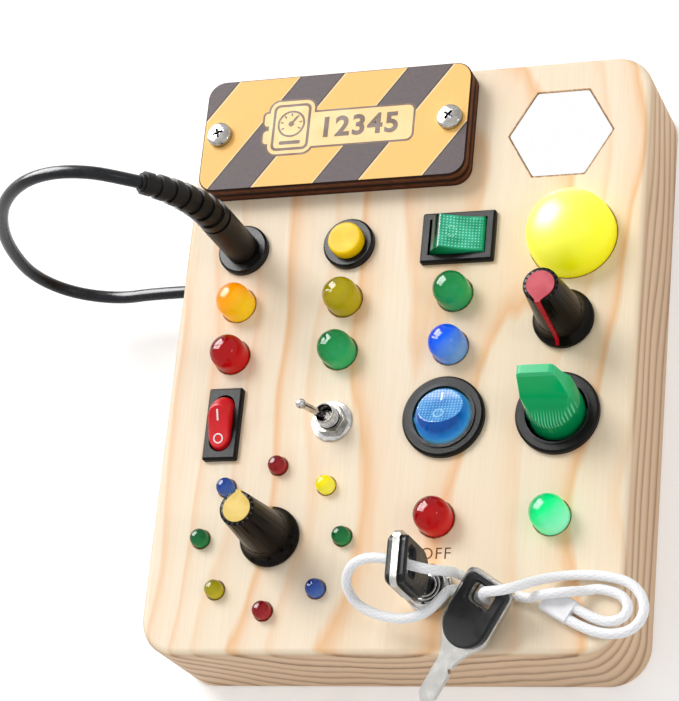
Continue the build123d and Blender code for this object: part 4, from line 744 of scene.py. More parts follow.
# ------------------------------------------------------------------ the bench
class Bench:
    """Blender's own modelling tools, used on one piece at a time."""

    @staticmethod
    def clear() -> None:
        """Leave edit mode and select nothing."""
        if bpy.context.object and bpy.context.object.mode != "OBJECT":
            bpy.ops.object.mode_set(mode="OBJECT")
        bpy.ops.object.select_all(action="DESELECT")

    @staticmethod
    def take(*pieces: Piece) -> Piece:
        """Select these pieces alone.

        Args:
            pieces: the pieces, the first of which becomes the active one.

        Returns:
            The first piece.
        """
        Bench.clear()
        for piece in pieces:
            piece.select_set(True)
        bpy.context.view_layer.objects.active = pieces[0]
        return pieces[0]

    @staticmethod
    @contextmanager
    def opened() -> Iterator[None]:
        """Edit mode on the active piece, starting with all of it selected.

        Returns:
            A context that ends in object mode.
        """
        bpy.ops.object.mode_set(mode="EDIT")
        bpy.ops.mesh.select_all(action="SELECT")
        yield
        bpy.ops.object.mode_set(mode="OBJECT")

    @staticmethod
    def raised(thick: float) -> None:
        """Raise the flat piece that is open by a thickness, and turn its faces outwards.

        Args:
            thick: the thickness in millimetres.
        """
        bpy.ops.mesh.extrude_region_move(TRANSFORM_OT_translate={"value": (0, 0, thick * MM)})
        bpy.ops.mesh.select_all(action="SELECT")
        bpy.ops.mesh.normals_make_consistent(inside=False)

    @staticmethod
    def held(name: str, data: bpy.types.ID) -> bpy.types.Object:
        """A new object in the scene.

        Args:
            name: its name.
            data: the mesh, curve, camera or light that it holds.

        Returns:
            The object.
        """
        item = bpy.data.objects.new(name, data)
        bpy.context.scene.collection.objects.link(item)
        return item

    @staticmethod
    def settle(piece: Piece, name: str) -> Piece:
        """Name a piece and move its place into its mesh.

        Args:
            piece: the piece.
            name: its name.

        Returns:
            The piece.
        """
        Bench.take(piece)
        bpy.ops.object.transform_apply(location=True, rotation=True, scale=True)
        piece.name = piece.data.name = name
        return piece

    @staticmethod
    def smooth(piece: Piece, sharp: float) -> Piece:
        """Shade a piece smooth over its curves.

        Args:
            piece: the piece.
            sharp: angle in degrees from which a turn stays an edge.

        Returns:
            The piece.
        """
        Bench.take(piece)
        bpy.ops.object.shade_smooth_by_angle(angle=math.radians(sharp))
        return piece

    @staticmethod
    def tooled(piece: Piece, kind: str, **settings: object) -> Piece:
        """Put a modifier on a piece and apply it.

        Args:
            piece: the piece.
            kind: Blender's name of the modifier.
            settings: its options.

        Returns:
            The piece.
        """
        Bench.take(piece)
        tool = piece.modifiers.new(kind.lower(), kind)
        for key, value in settings.items():
            setattr(tool, key, value)
        bpy.ops.object.modifier_apply(modifier=tool.name)
        return piece

    @staticmethod
    def weighted(piece: Piece, sharp: float) -> Piece:
        """Smooth shading in which broad faces stay flat up to their small bevels."""
        Bench.smooth(piece, sharp)
        return Bench.tooled(piece, "WEIGHTED_NORMAL", keep_sharp=True, weight=90)

    @staticmethod
    def soften(piece: Piece, width: float, steps: int, limit: float = 40.0) -> Piece:
        """Round the sharp edges of a piece by a width in millimetres."""
        return Bench.tooled(piece, "BEVEL", width=width * MM, segments=steps,
                            angle_limit=math.radians(limit), use_clamp_overlap=True)

    @staticmethod
    def carried(node: str, name: str, sharp: float) -> Piece:
        """A copy of a CAD node with its corners joined, shaded smooth over its curves.

        Args:
            node: the CAD node.
            name: name of the new piece.
            sharp: angle in degrees that stays an edge.

        Returns:
            The new piece.
        """
        piece = Bench.take(Bench.held(name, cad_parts[node].data.copy()))
        with Bench.opened():
            bpy.ops.mesh.remove_doubles(threshold=WELD * MM)
        if piece.data.has_custom_normals:
            bpy.ops.mesh.customdata_custom_splitnormals_clear()
        return Bench.weighted(piece, sharp)

    @staticmethod
    def turned(name: str, outline: Outline, at: Point = (0.0, 0.0, 0.0), sides: int = 48) -> Piece:
        """A turned piece: a ring extruded and scaled from each point of its outline to the next.

        Args:
            name: name of the piece.
            outline: radius and height of each point; the first repeated last makes it a closed ring.
            at: foot of its axis.
            sides: points round it.

        Returns:
            The piece, its poles closed.
        """
        Bench.clear()
        axis = (at[0] * MM, at[1] * MM, 0.0)
        bpy.ops.mesh.primitive_circle_add(vertices=sides, radius=max(outline[0][0], POLE) * MM,
                                          location=(axis[0], axis[1], (at[2] + outline[0][1]) * MM))
        piece = bpy.context.object
        with Bench.opened():
            for (r_0, z_0), (r_1, z_1) in zip(outline, outline[1:]):
                grow = max(r_1, POLE) / max(r_0, POLE)
                bpy.ops.mesh.extrude_region_move(TRANSFORM_OT_translate={"value": (0, 0, (z_1 - z_0) * MM)})
                bpy.ops.transform.resize(value=(grow, grow, 1), center_override=axis)
            bpy.ops.mesh.select_all(action="SELECT")
            bpy.ops.mesh.remove_doubles(threshold=PINCH * MM)
            bpy.ops.mesh.normals_make_consistent(inside=False)
        return Bench.settle(piece, name)

    @staticmethod
    def slab(name: str, size: Spot, at: Point, thick: float, corner: float = 0.0) -> Piece:
        """A flat plate with rounded corners, raised from a plane.

        Args:
            name: name of the piece.
            size: its width and height.
            at: middle of its underside.
            thick: how far it is raised.
            corner: radius of its corners.

        Returns:
            The plate.
        """
        Bench.clear()
        bpy.ops.mesh.primitive_plane_add(size=1, location=[v * MM for v in at])
        piece = bpy.context.object
        piece.scale = (size[0] * MM, size[1] * MM, 1)
        Bench.settle(piece, name)
        with Bench.opened():
            if corner:
                bpy.ops.mesh.bevel(offset=corner * MM, segments=6, affect="VERTICES")
                bpy.ops.mesh.select_all(action="SELECT")
            Bench.raised(thick)
        return piece

    @staticmethod
    def letters(name: str, text: str, height: float, thick: float, weight: float, place: Matrix) -> Piece:
        """Plain raised figures or letters, centred on their place.

        Args:
            name: name of the piece.
            text: what they say.
            height: size of the type.
            thick: how far they stand up.
            weight: how much their strokes are fattened, negative to thin them.
            place: where their middle lies, in metres.

        Returns:
            The figures as a mesh.
        """
        Bench.clear()
        bpy.ops.object.text_add()
        words = bpy.context.object.data
        words.body = text
        words.size = height * MM
        words.align_x = words.align_y = "CENTER"
        words.extrude = thick * MM / 2
        words.offset = weight * MM
        words.resolution_u = 6
        words.space_character = 1.12
        bpy.ops.object.convert(target="MESH")
        with Bench.opened():
            bpy.ops.mesh.remove_doubles(threshold=WELD / 2 * MM)
        return Bench.moved(Bench.settle(bpy.context.object, name), place)

    @staticmethod
    def moved(piece: Piece, place: Matrix) -> Piece:
        """Move a piece's mesh.

        Args:
            piece: the piece.
            place: the move, in metres.

        Returns:
            The piece.
        """
        piece.data.transform(place)
        piece.data.update()
        return piece

    @staticmethod
    def twin(piece: Piece, name: str, place: Matrix) -> Piece:
        """A copy of a piece with its own mesh, moved by a matrix."""
        return Bench.moved(Bench.held(name, piece.data.copy()), place)

    @staticmethod
    def joined(name: str, *pieces: Piece) -> Piece:
        """Several pieces as one.

        Args:
            name: name of the whole.
            pieces: the pieces, the first of which becomes the whole.

        Returns:
            The whole.
        """
        whole = Bench.take(*pieces)
        bpy.ops.object.join()
        whole.name = whole.data.name = name
        return whole

    @staticmethod
    def cut(piece: Piece, cutter: Piece) -> Piece:
        """Cut a piece with another.

        Args:
            piece: the piece.
            cutter: what is taken away from it, and used up.

        Returns:
            The piece.
        """
        Bench.tooled(piece, "BOOLEAN", operation="DIFFERENCE", solver="EXACT", object=cutter)
        bpy.data.objects.remove(cutter)
        return piece

    @staticmethod
    def measure(piece: Piece, label: str, rule: Callable[[Vector], float]) -> Piece:
        """Write a value for each corner of a piece, which its finish reads.

        Args:
            piece: the piece.
            label: name of the value.
            rule: the value at a place in millimetres.

        Returns:
            The piece.
        """
        values = piece.data.attributes.new(label, "FLOAT", "POINT")
        for item, vertex in zip(values.data, piece.data.vertices):
            item.value = rule(vertex.co / MM)
        return piece

    @staticmethod
    def coat(piece: Piece, *finishes: Finish) -> Piece:
        """Give a piece these finishes and no others.

        Args:
            piece: the piece.
            finishes: its finishes, in the order of the numbers on its faces.

        Returns:
            The piece.
        """
        piece.data.materials.clear()
        for finish in finishes:
            piece.data.materials.append(finish.material())
        return piece

    @staticmethod
    def repaint(piece: Piece, finish: Finish, test: Callable[[bpy.types.MeshPolygon], bool]) -> Piece:
        """Give some faces of a piece a finish of their own.

        Args:
            piece: the piece.
            finish: their finish.
            test: true for those faces.

        Returns:
            The piece.
        """
        piece.data.materials.append(finish.material())
        number = len(piece.data.materials) - 1
        for face in piece.data.polygons:
            if test(face):
                face.material_index = number
        return piece


def shift(x: float, y: float, z: float) -> Matrix:
    """A move in millimetres, as a matrix in metres."""
    return Matrix.Translation(Vector((x, y, z)) * MM)


def leaning(x: float, y: float, z: float, heading: float, lean: float) -> Matrix:
    """Frame of a piece that faces a heading: its x points there and rises, its z stands up.

    Args:
        x: place across.
        y: place up the face.
        z: height.
        heading: degrees about Z.
        lean: degrees that its x rises.

    Returns:
        The frame, in metres.
    """
    turn = Matrix.Rotation(math.radians(heading), 4, "Z") @ Matrix.Rotation(-math.radians(lean), 4, "Y")
    return shift(x, y, z) @ turn


def bow(radius: float, start: float, end: float, steps: int, centre: Spot) -> list[Spot]:
    """Points of an arc, for the outline of a turned piece.

    Args:
        radius: its radius.
        start: angle of its first point, in degrees.
        end: angle of its last point.
        steps: points after the first one.
        centre: its centre.

    Returns:
        The points.
    """
    turns = [math.radians(start + (end - start) * i / steps) for i in range(steps + 1)]
    return [(centre[0] + radius * math.cos(a), centre[1] + radius * math.sin(a)) for a in turns]


def middle(node: str) -> Vector:
    """Middle of a CAD node at rest, in millimetres."""
    low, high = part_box(node)
    return (low + high) / 2 / MM


def dress(piece: Piece, finish: Finish, body: str, slot: str, *nodes: str) -> Piece:
    """Give a piece its finish, its body and the CAD nodes that it stands for.

    Args:
        piece: the piece.
        finish: its finish.
        body: the body it rides on.
        slot: the record's material slot; not used.
        nodes: CAD nodes that it replaces.

    Returns:
        The piece.
    """
    if not piece.get("dressed"):
        Bench.coat(piece, finish)
    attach(piece, body)
    if nodes:
        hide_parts(*nodes)
    LOG.info("%s on %s: %d faces", piece.name, body, len(piece.data.polygons))
    return piece


def fitted(node: str, name: str, sharp: float, finish: Finish, body: str, slot: str) -> Piece:
    """A dressed copy of a CAD node in its place.

    Args:
        node: the CAD node.
        name: name of the new piece.
        sharp: angle in degrees that stays an edge.
        finish: its finish.
        body: the body it rides on.
        slot: the record's material slot.

    Returns:
        The piece.
    """
    return dress(Bench.carried(node, name, sharp), finish, body, slot, node)


def recolour(finish: Finish, *nodes: str) -> None:
    """Give CAD nodes that stay as they are a finish.

    Args:
        finish: the finish.
        nodes: the CAD nodes.
    """
    for name in nodes:
        Bench.coat(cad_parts[name], finish)
        LOG.info("%s keeps its CAD shape, in %s", name, finish.name)


# ------------------------------------------------------------------ studio
@dataclass
class Studio:
    """Camera, floor and soft light."""

    eye: Point = (225.746, -255.836, 635.233)
    right: Point = (0.936724, 0.093759, -0.337280)
    down: Point = (-0.042948, -0.925408, -0.376530)
    focal: float = 2544.31
    long_side: float = 701.0
    sensor: float = 36.0
    floor_size: float = 6.0
    floor_gap: float = 0.05
    floor_glow: float = 0.24
    sky: float = 0.64
    key: float = 44.0
    spark: float = 0.9
    window: float = 130.0

    def camera(self) -> None:
        """A camera on the board's right, above and in front of its lower edge."""
        data = bpy.data.cameras.new("camera")
        camera = Bench.held("camera", data)
        right, up = Vector(self.right), -Vector(self.down)
        turn = Matrix((right, up, right.cross(up))).transposed()
        camera.matrix_world = Matrix.Translation(Vector(self.eye) * MM) @ turn.to_4x4()
        data.sensor_width = self.sensor
        data.lens = self.sensor * self.focal / self.long_side
        data.clip_start, data.clip_end = 0.01, 20.0
        data.dof.use_dof = False
        bpy.context.scene.camera = camera

    def floor(self) -> None:
        """A plain pale floor that keeps the shadow and is white where nothing shades it."""
        Bench.clear()
        bpy.ops.mesh.primitive_plane_add(size=self.floor_size, location=(0, 0, -self.floor_gap * MM))
        floor = bpy.context.object
        floor.name = "floor"
        recipe = Recipe(bpy.data.materials.new("studio_floor"))
        fleck = recipe.noise(recipe.point(), (0.02, 0.02, 0.02), 2.0)
        floor.data.materials.append(recipe.finish(
            Base_Color=recipe.mix(recipe.band(fleck, 0.3, 0.7), "#FAFAFA", "#F7F7F7"), Roughness=0.9,
            Specular_IOR_Level=0.0, Emission_Color="#FFFFFF",
            Emission_Strength=recipe.math("MULTIPLY", recipe.seen(), self.floor_glow)))

    def sky_dome(self) -> None:
        """Even light from all round, white where it is seen."""
        world = bpy.data.worlds.new("studio")
        bpy.context.scene.world = world
        recipe = Recipe(world)
        level = recipe.add("ShaderNodeMapRange", {0: recipe.seen(), 3: self.sky, 4: 1.0})
        light = recipe.add("ShaderNodeBackground", {0: (1.0, 1.0, 1.0, 1.0), 1: level.outputs[0]})
        recipe.add("ShaderNodeOutputWorld", {0: light.outputs[0]})

    @staticmethod
    def lamp(name: str, way: Point, distance: float, size: float, power: float) -> bpy.types.Object:
        """One square softbox that looks at the board.

        Args:
            name: name of the light.
            way: direction from the board to it.
            distance: metres away.
            size: metres across.
            power: watts.

        Returns:
            The light.
        """
        data = bpy.data.lights.new(name, "AREA")
        data.shape = "SQUARE"
        data.size = size
        data.energy = power
        light = Bench.held(name, data)
        back = Vector(way).normalized()
        light.location = back * distance
        light.rotation_euler = back.to_track_quat("Z", "Y").to_euler()
        return light

    def build(self) -> None:
        """Set up the camera first, then the floor and the lights."""
        self.camera()
        self.floor()
        self.sky_dome()
        self.lamp("key_softbox", (-0.50, 0.48, 0.72), 3.0, 1.25, self.key)
        self.lamp("spark_light", (0.755, -0.091, 0.649), 1.2, 0.12, self.spark)
        self.lamp("window", (-0.66, 0.50, 0.56), 1.5, 1.35, self.window).visible_diffuse = False
        bpy.context.scene.view_settings.view_transform = "Standard"
        LOG.info("studio ready")


# ------------------------------------------------------------------ cords
class Path:
    """A smooth line through the bends of a cord, and the tube that follows it."""

    def __init__(self, name: str, points: Sequence[Point]) -> None:
        """Lay the line.

        Args:
            name: name of the cord.
            points: its control points, in metres.
        """
        curve = bpy.data.curves.new(name, "CURVE")
        curve.dimensions = "3D"
        curve.resolution_u = 24
        line = curve.splines.new("NURBS")
        line.points.add(len(points) - 1)
        for knot, point in zip(line.points, points):
            knot.co = (*point, 1.0)
        line.order_u = 3
        line.use_endpoint_u = True
        holder = Bench.held(name + "_line", curve)
        bpy.context.view_layer.update()
        mesh = bpy.data.meshes.new_from_object(holder)
        self.name = name
        self.line = [v.co.copy() for v in mesh.vertices]
        bpy.data.objects.remove(holder)
        bpy.data.meshes.remove(mesh)

    def stations(self, step: float) -> list[tuple[float, Vector]]:
        """Points at an even step along the line.

        Args:
            step: metres between them.

        Returns:
            Each point and its distance from the start, in metres.
        """
        found, gone = [(0.0, self.line[0])], 0.0
        due = step
        for here, there in zip(self.line, self.line[1:]):
            run = (there - here).length
            while run and gone + run >= due:
                found.append((due, here.lerp(there, (due - gone) / run)))
                due += step
            gone += run
        if gone - found[-1][0] > step * 0.3:
            found.append((gone, self.line[-1]))
        return found

    def tube(self, radius: Callable[[float, float], float], step: float, sides: int,
             label: str = "") -> Piece:
        """A closed tube round the line.

        Args:
            radius: its radius in metres at a distance along and a share of the way round.
            step: metres between its rings.
            sides: points in each ring.
            label: name of a value that keeps the radius, as a share of the largest, on each point.

        Returns:
            The tube.
        """
        places = self.stations(step)
        up = Vector((0, 0, 1))
        points, sizes = [], []
        for i, (gone, place) in enumerate(places):
            before, after = places[max(i - 1, 0)][1], places[min(i + 1, len(places) - 1)][1]
            ahead = (after - before).normalized()
            side = ahead.cross(up)
            if i == 0:
                side = side if side.length > 0.1 else ahead.cross(Vector((0, 1, 0)))
                across = side.normalized()
            else:
                across = (across - ahead * across.dot(ahead)).normalized()
            over = across.cross(ahead)
            for j in range(sides):
                share = j / sides
                size = radius(gone, share)
                turn = share * 2 * math.pi
                points.append(place + (across * math.cos(turn) + over * math.sin(turn)) * size)
                sizes.append(size)
        last = (len(places) - 1) * sides
        faces = [(i + j, i + (j + 1) % sides, i + sides + (j + 1) % sides, i + sides + j)
                 for i in range(0, last, sides) for j in range(sides)]
        faces += [tuple(range(sides))[::-1], tuple(range(last, last + sides))]
        mesh = bpy.data.meshes.new(self.name)
        mesh.from_pydata(points, [], faces)
        piece = Bench.held(self.name, mesh)
        if label:
            low, high = min(sizes), max(sizes)
            values = mesh.attributes.new(label, "FLOAT", "POINT")
            values.data.foreach_set("value", [(s - low) / max(high - low, 1e-9) for s in sizes])
        Bench.take(piece)
        with Bench.opened():
            bpy.ops.mesh.normals_make_consistent(inside=False)
        return Bench.smooth(piece, 60)


# ------------------------------------------------------------------ case
@dataclass
class Case:
    """Pine block, its plywood back, the mirror and the burnt rims of its holes."""

    lamp_r: float = 5.1
    small_lamp_r: float = 2.6
    dome_r: float = 12.3
    rim: float = 0.35
    rise: float = 0.03
    crest: float = 0.02
    outer: float = 0.6
    sunk: float = 0.3
    mirror_at: Spot = (41.8, 63.0)
    mirror_r: float = 14.95
    mirror_turn: float = 30.0
    mirror_sunk: float = 0.2
    mirror_fade: float = 3.0
    word_at: Spot = (15.56, -58.24)
    word_size: float = 4.6

    def scorched(self, x: float, y: float, radius: float, sides: int = 48) -> Piece:
        """A thin burnt rim round one hole.

        Args:
            x: place of the hole across.
            y: its place up the face.
            radius: its radius.
            sides: points round it.

        Returns:
            The rim, with the distance from the cut written on it.
        """
        outline = [(radius, -self.sunk), (radius + self.crest, self.rise),
                   (radius + self.rim, self.rise * self.outer), (radius + self.rim, -self.sunk),
                   (radius, -self.sunk)]
        ring = Bench.turned(f"rim_{x:.0f}_{y:.0f}", outline, (x, y, FACE), sides)
        return Bench.measure(ring, "away", lambda p: ((p.xy - Vector((x, y))).length - radius) / self.rim)

    def hex_rim(self) -> Piece:
        """The burnt lip of the hexagonal pocket of the mirror.

        Returns:
            The lip, with the distance from the cut written on it.
        """
        x, y = self.mirror_at
        inside, outside = self.mirror_r, self.mirror_r + self.rim
        outline = [(inside, -self.mirror_sunk), (inside, self.rise), (outside, self.rise * self.outer),
                   (outside, -self.mirror_sunk), (inside, -self.mirror_sunk)]
        ring = Bench.turned("mirror_rim", outline, (x, y, FACE), 6)
        turn = math.radians(self.mirror_turn)
        Bench.moved(ring, shift(x, y, 0) @ Matrix.Rotation(turn, 4, "Z") @ shift(-x, -y, 0))
        flat = math.cos(turn) * self.mirror_r
        return Bench.measure(ring, "away",
                             lambda p: ((p.xy - Vector((x, y))).length - flat) / self.mirror_fade)

    def build(self, lamps: Sequence[Spot], small_lamps: Sequence[Spot], dome: Spot) -> None:
        """Build the case.

        Args:
            lamps: places of the large lamps.
            small_lamps: places of the small lamps.
            dome: place of the warning lamp.
        """
        fitted("body_block", "case_block", 30, Pine(), "case", "pine")
        recolour(Veneer(), "back_panel")
        mirror = Bench.soften(Bench.carried("hex_mirror", "mirror_plate", 30), 0.15, 2)
        dress(mirror, Plated("mirror_glass", "#FFFFFF", "#FEFEFE", 0.0, (1, 1, 1), 0.0), "case", "mirror",
              "hex_mirror")
        rims = [self.scorched(x, y, self.lamp_r) for x, y in lamps]
        rims += [self.scorched(x, y, self.small_lamp_r, 32) for x, y in small_lamps]
        rims += [self.scorched(*dome, self.dome_r, 72), self.hex_rim()]
        dress(Bench.joined("scorched_rims", *rims), Scorch(), "case", "pine")
        word = Bench.letters("lock_position_word", "OFF", self.word_size, 0.05, -0.03,
                             shift(*self.word_at, FACE + 0.01))
        dress(word, Moulded("burnt_print", "#5E3A1E", "#774C28", 0.8, 0.02, 0.1), "case", "pine")


@dataclass
class BackPrint:
    """Plain figures and simple shapes printed on the back panel."""

    low: float = 0.14
    thick: float = 0.05
    size: float = 19.0
    weight: float = 0.35
    figure_rows: Spot = (56.0, 28.0)
    figure_pitch: float = 22.0
    form_r: float = 12.0
    form_top: float = -14.0
    form_pitch: Spot = (32.0, 34.0)
    waist: float = 0.45

    def shape(self, name: str, sides: int, spin: float, star: bool, at: Spot) -> Piece:
        """A flat regular shape, or a star when every other corner is drawn in.

        Args:
            name: name of the shape.
            sides: its corners.
            spin: degrees that it is turned.
            star: draw every other corner in.
            at: its middle.

        Returns:
            The shape.
        """
        Bench.clear()
        bpy.ops.mesh.primitive_circle_add(vertices=sides, radius=self.form_r * MM, fill_type="NGON",
                                          location=(at[0] * MM, at[1] * MM, self.low * MM),
                                          rotation=(0, 0, math.radians(spin)))
        piece = Bench.settle(bpy.context.object, name)
        if star:
            centre = Vector(at) * MM
            for vertex in list(piece.data.vertices)[::2]:
                vertex.co.xy = centre + (vertex.co.xy - centre) * self.waist
        Bench.take(piece)
        with Bench.opened():
            Bench.raised(self.thick)
        return piece

    def build(self) -> None:
        """Figures in two rows over two rows of shapes, read from behind."""
        turn = Matrix.Rotation(math.pi, 4, "Y")
        inks = [Moulded(f"print_{ink}", code, code, 0.5, 0.02, 0.3) for ink, code in (
            ("red", "#D8343A"), ("orange", "#EE8A2C"), ("green", "#3C9A4E"), ("blue", "#3A6FBE"),
            ("violet", "#7B57A8"))]
        for figure in range(2 * len(inks)):
            row, i = divmod(figure, len(inks))
            place = shift((2 - i) * self.figure_pitch, self.figure_rows[row], self.low + self.thick / 2)
            mark = Bench.letters(f"back_figure_{figure}", str(figure), self.size, self.thick, self.weight,
                                 place @ turn)
            dress(mark, inks[i], "case", "panel_ply")
        forms = [(48, 0, False), (3, 90, False), (4, 45, False),
                 (6, 0, False), (10, 18, True), (5, 90, False)]
        for i, form in enumerate(forms):
            at = ((1 - i % 3) * self.form_pitch[0], self.form_top - self.form_pitch[1] * (i // 3))
            dress(self.shape(f"back_form_{i}", *form, at), inks[i % len(inks)], "case", "panel_ply")


# ------------------------------------------------------------------ sign
@dataclass
class WarningSign:
    """Striped board with a gauge and figures in a cartouche, held by two cross-head screws."""

    at: Spot = (-23.0, 66.5)
    top: float = 39.0
    screw_x: float = 34.7
    gauge_at: Spot = (-36.0, 67.6)
    box: Spot = (11.4, 14.6)
    field: Spot = (9.8, 13.0)
    bar: Spot = (30.0, 8.6)
    lug: Spot = (2.2, 2.0)
    lug_at: Spot = (-6.2, 2.8)
    print_t: float = 0.03
    figures_at: Spot = (-15.4, 66.4)
    figure_size: float = 8.6
    dial: Spot = (3.6, 4.2)
    dial_up: float = 1.0
    dial_t: float = 0.04
    needle_turn: float = -38.0
    head: Spot = (3.7, 1.2)
    shank: float = 1.75
    shank_end: float = -10.0
    slot: Spot = (4.3, 1.0)

    def layer(self, name: str, grow: float, level: float) -> Piece:
        """One layer of the cartouche: the gauge's box, its two lugs and the bar behind the figures.

        Args:
            name: name of the layer.
            grow: how far it reaches beyond the cartouche's own outline.
            level: its height above the board.

        Returns:
            The layer.
        """
        gx, gy = self.gauge_at
        base = self.top + level
        forms = [(self.box, (gx, gy, base), 2.0 + grow * 0.8),
                 (self.bar, (*self.figures_at, base - 0.002), 0.9 + grow * 0.8)]
        lug_x, lug_y = self.lug_at
        forms += [(self.lug, (gx + lug_x, gy + side * lug_y, base - 0.004), 0.4 + grow * 0.6)
                  for side in (1, -1)]
        return Bench.joined(name, *[
            Bench.slab(f"{name}_{i}", (wide + 2 * grow, high + 2 * grow), at, self.print_t, corner)
            for i, ((wide, high), at, corner) in enumerate(forms)])

    def gauge(self) -> Piece:
        """The gauge: a dial ring with ticks, a needle, its hub and a bar.

        Returns:
            The gauge, lying on its field.
        """
        gx, gy = self.gauge_at
        level = self.top + 0.10
        centre = (gx, gy + self.dial_up, level)
        inner, outer = self.dial
        ring = [(inner, 0), (outer, 0), (outer, self.dial_t), (inner, self.dial_t), (inner, 0)]
        parts = [Bench.turned("gauge", ring, centre, 40)]
        for i in range(7):
            tick = Bench.slab(f"tick_{i}", (0.45, 0.9), (0, 2.9, 0), self.dial_t)
            turn = Matrix.Rotation(math.radians(120 - 40 * i), 4, "Z")
            parts.append(Bench.moved(tick, shift(*centre) @ turn))
        needle = Bench.slab("needle", (0.7, 3.4), (0, 1.1, 0), 0.045, 0.3)
        turn = Matrix.Rotation(math.radians(self.needle_turn), 4, "Z")
        parts.append(Bench.moved(needle, shift(*centre) @ turn))
        parts.append(Bench.turned("hub", [(0, 0), (0.85, 0), (0.85, 0.05), (0, 0.05)], centre, 24))
        parts.append(Bench.slab("gauge_bar", (6.4, 1.1), (gx, gy - 4.9, level), self.dial_t, 0.3))
        return Bench.joined("sign_gauge", *parts)

    def screw(self) -> Piece:
        """A pan-head screw with a cross recess, standing at the origin.

        Returns:
            The screw.
        """
        radius, edge = self.head
        shank = [(0, self.shank_end), (0.7, self.shank_end), (self.shank, self.shank_end + self.shank),
                 (self.shank, 0)]
        crown = [(radius * math.cos(math.radians(a)), 1.25 + 1.13 * math.sin(math.radians(a)))
                 for a in (12, 26, 42, 60, 78, 90)]
        piece = Bench.turned("screw", [*shank, (radius, 0), (radius, edge), *crown], sides=40)
        for i, turn in enumerate((0, 90)):
            slot = Bench.slab(f"slot_{i}", self.slot, (0, 0, 1.0), 2.0)
            for vertex in slot.data.vertices:
                if vertex.co.z < 1.5 * MM:
                    vertex.co.x *= 0.25
                    vertex.co.y *= 0.6
            Bench.cut(piece, Bench.moved(slot, Matrix.Rotation(math.radians(turn), 4, "Z")))
        return Bench.smooth(piece, 40)

    def build(self) -> None:
        """Build the board, its print and its screws."""
        fitted("sign_plate", "sign_board", 30, HazardBoard(), "case", "sign_ply")
        brown = Moulded("sign_burnt_line", "#5A4638", "#6A5344", 0.6, 0.02, 0.25)
        amber = Moulded("sign_pale_ink", "#FBCF88", "#FFD591", 0.6, 0.02, 0.25)
        figures = shift(*self.figures_at, self.top + 0.085) @ Matrix.Diagonal((1.02, 1.0, 1.0, 1.0))
        low, high = (*self.gauge_at, self.top + 0.06), (*self.gauge_at, self.top + 0.08)
        prints = [
            (self.layer("cartouche_outline", 1.65, 0.0), brown),
            (self.layer("cartouche_band", 1.05, 0.03), amber),
            (Bench.slab("gauge_frame", self.box, low, self.print_t, 1.8), brown),
            (Bench.slab("gauge_field", self.field, high, self.print_t, 1.2), amber),
            (self.gauge(), brown),
            (Bench.letters("sign_figures", "12345", self.figure_size, 0.05, 0.27, figures), brown),
        ]
        for piece, ink in prints:
            dress(piece, ink, "case", "sign_ply")
        first = self.screw()
        heads = [Vector((self.at[0] + side * self.screw_x, self.at[1])) for side in (-1, 1)]
        pair = [Bench.twin(first, f"sign_screw_{i}",
                           shift(*head, self.top) @ Matrix.Rotation(math.radians(turn), 4, "Z"))
                for i, (head, turn) in enumerate(zip(heads, (20, 50)))]
        bpy.data.objects.remove(first)
        screws = dress(Bench.joined("sign_screw_pair", *pair), NICKEL, "case", "nickel", "sign_screws")
        # painted shade: the cross recesses of the screw heads are painted dark
        low, high = (self.top + 0.9) * MM, (self.top + 2.15) * MM
        Bench.repaint(screws, DARK_STEEL_AND_RECESS_SHADE, lambda face: low < face.center.z < high and min(
            (face.center.xy - head * MM).length for head in heads) < 2.2 * MM)


# ------------------------------------------------------------------ lamps
@dataclass(frozen=True)
class LampSize:
    """Sizes of one lamp: its lens, its flange, its legs and how finely it is turned."""

    radius: float
    rise: float
    flange: float
    flange_t: float
    legs: float
    steps: int
    sides: int


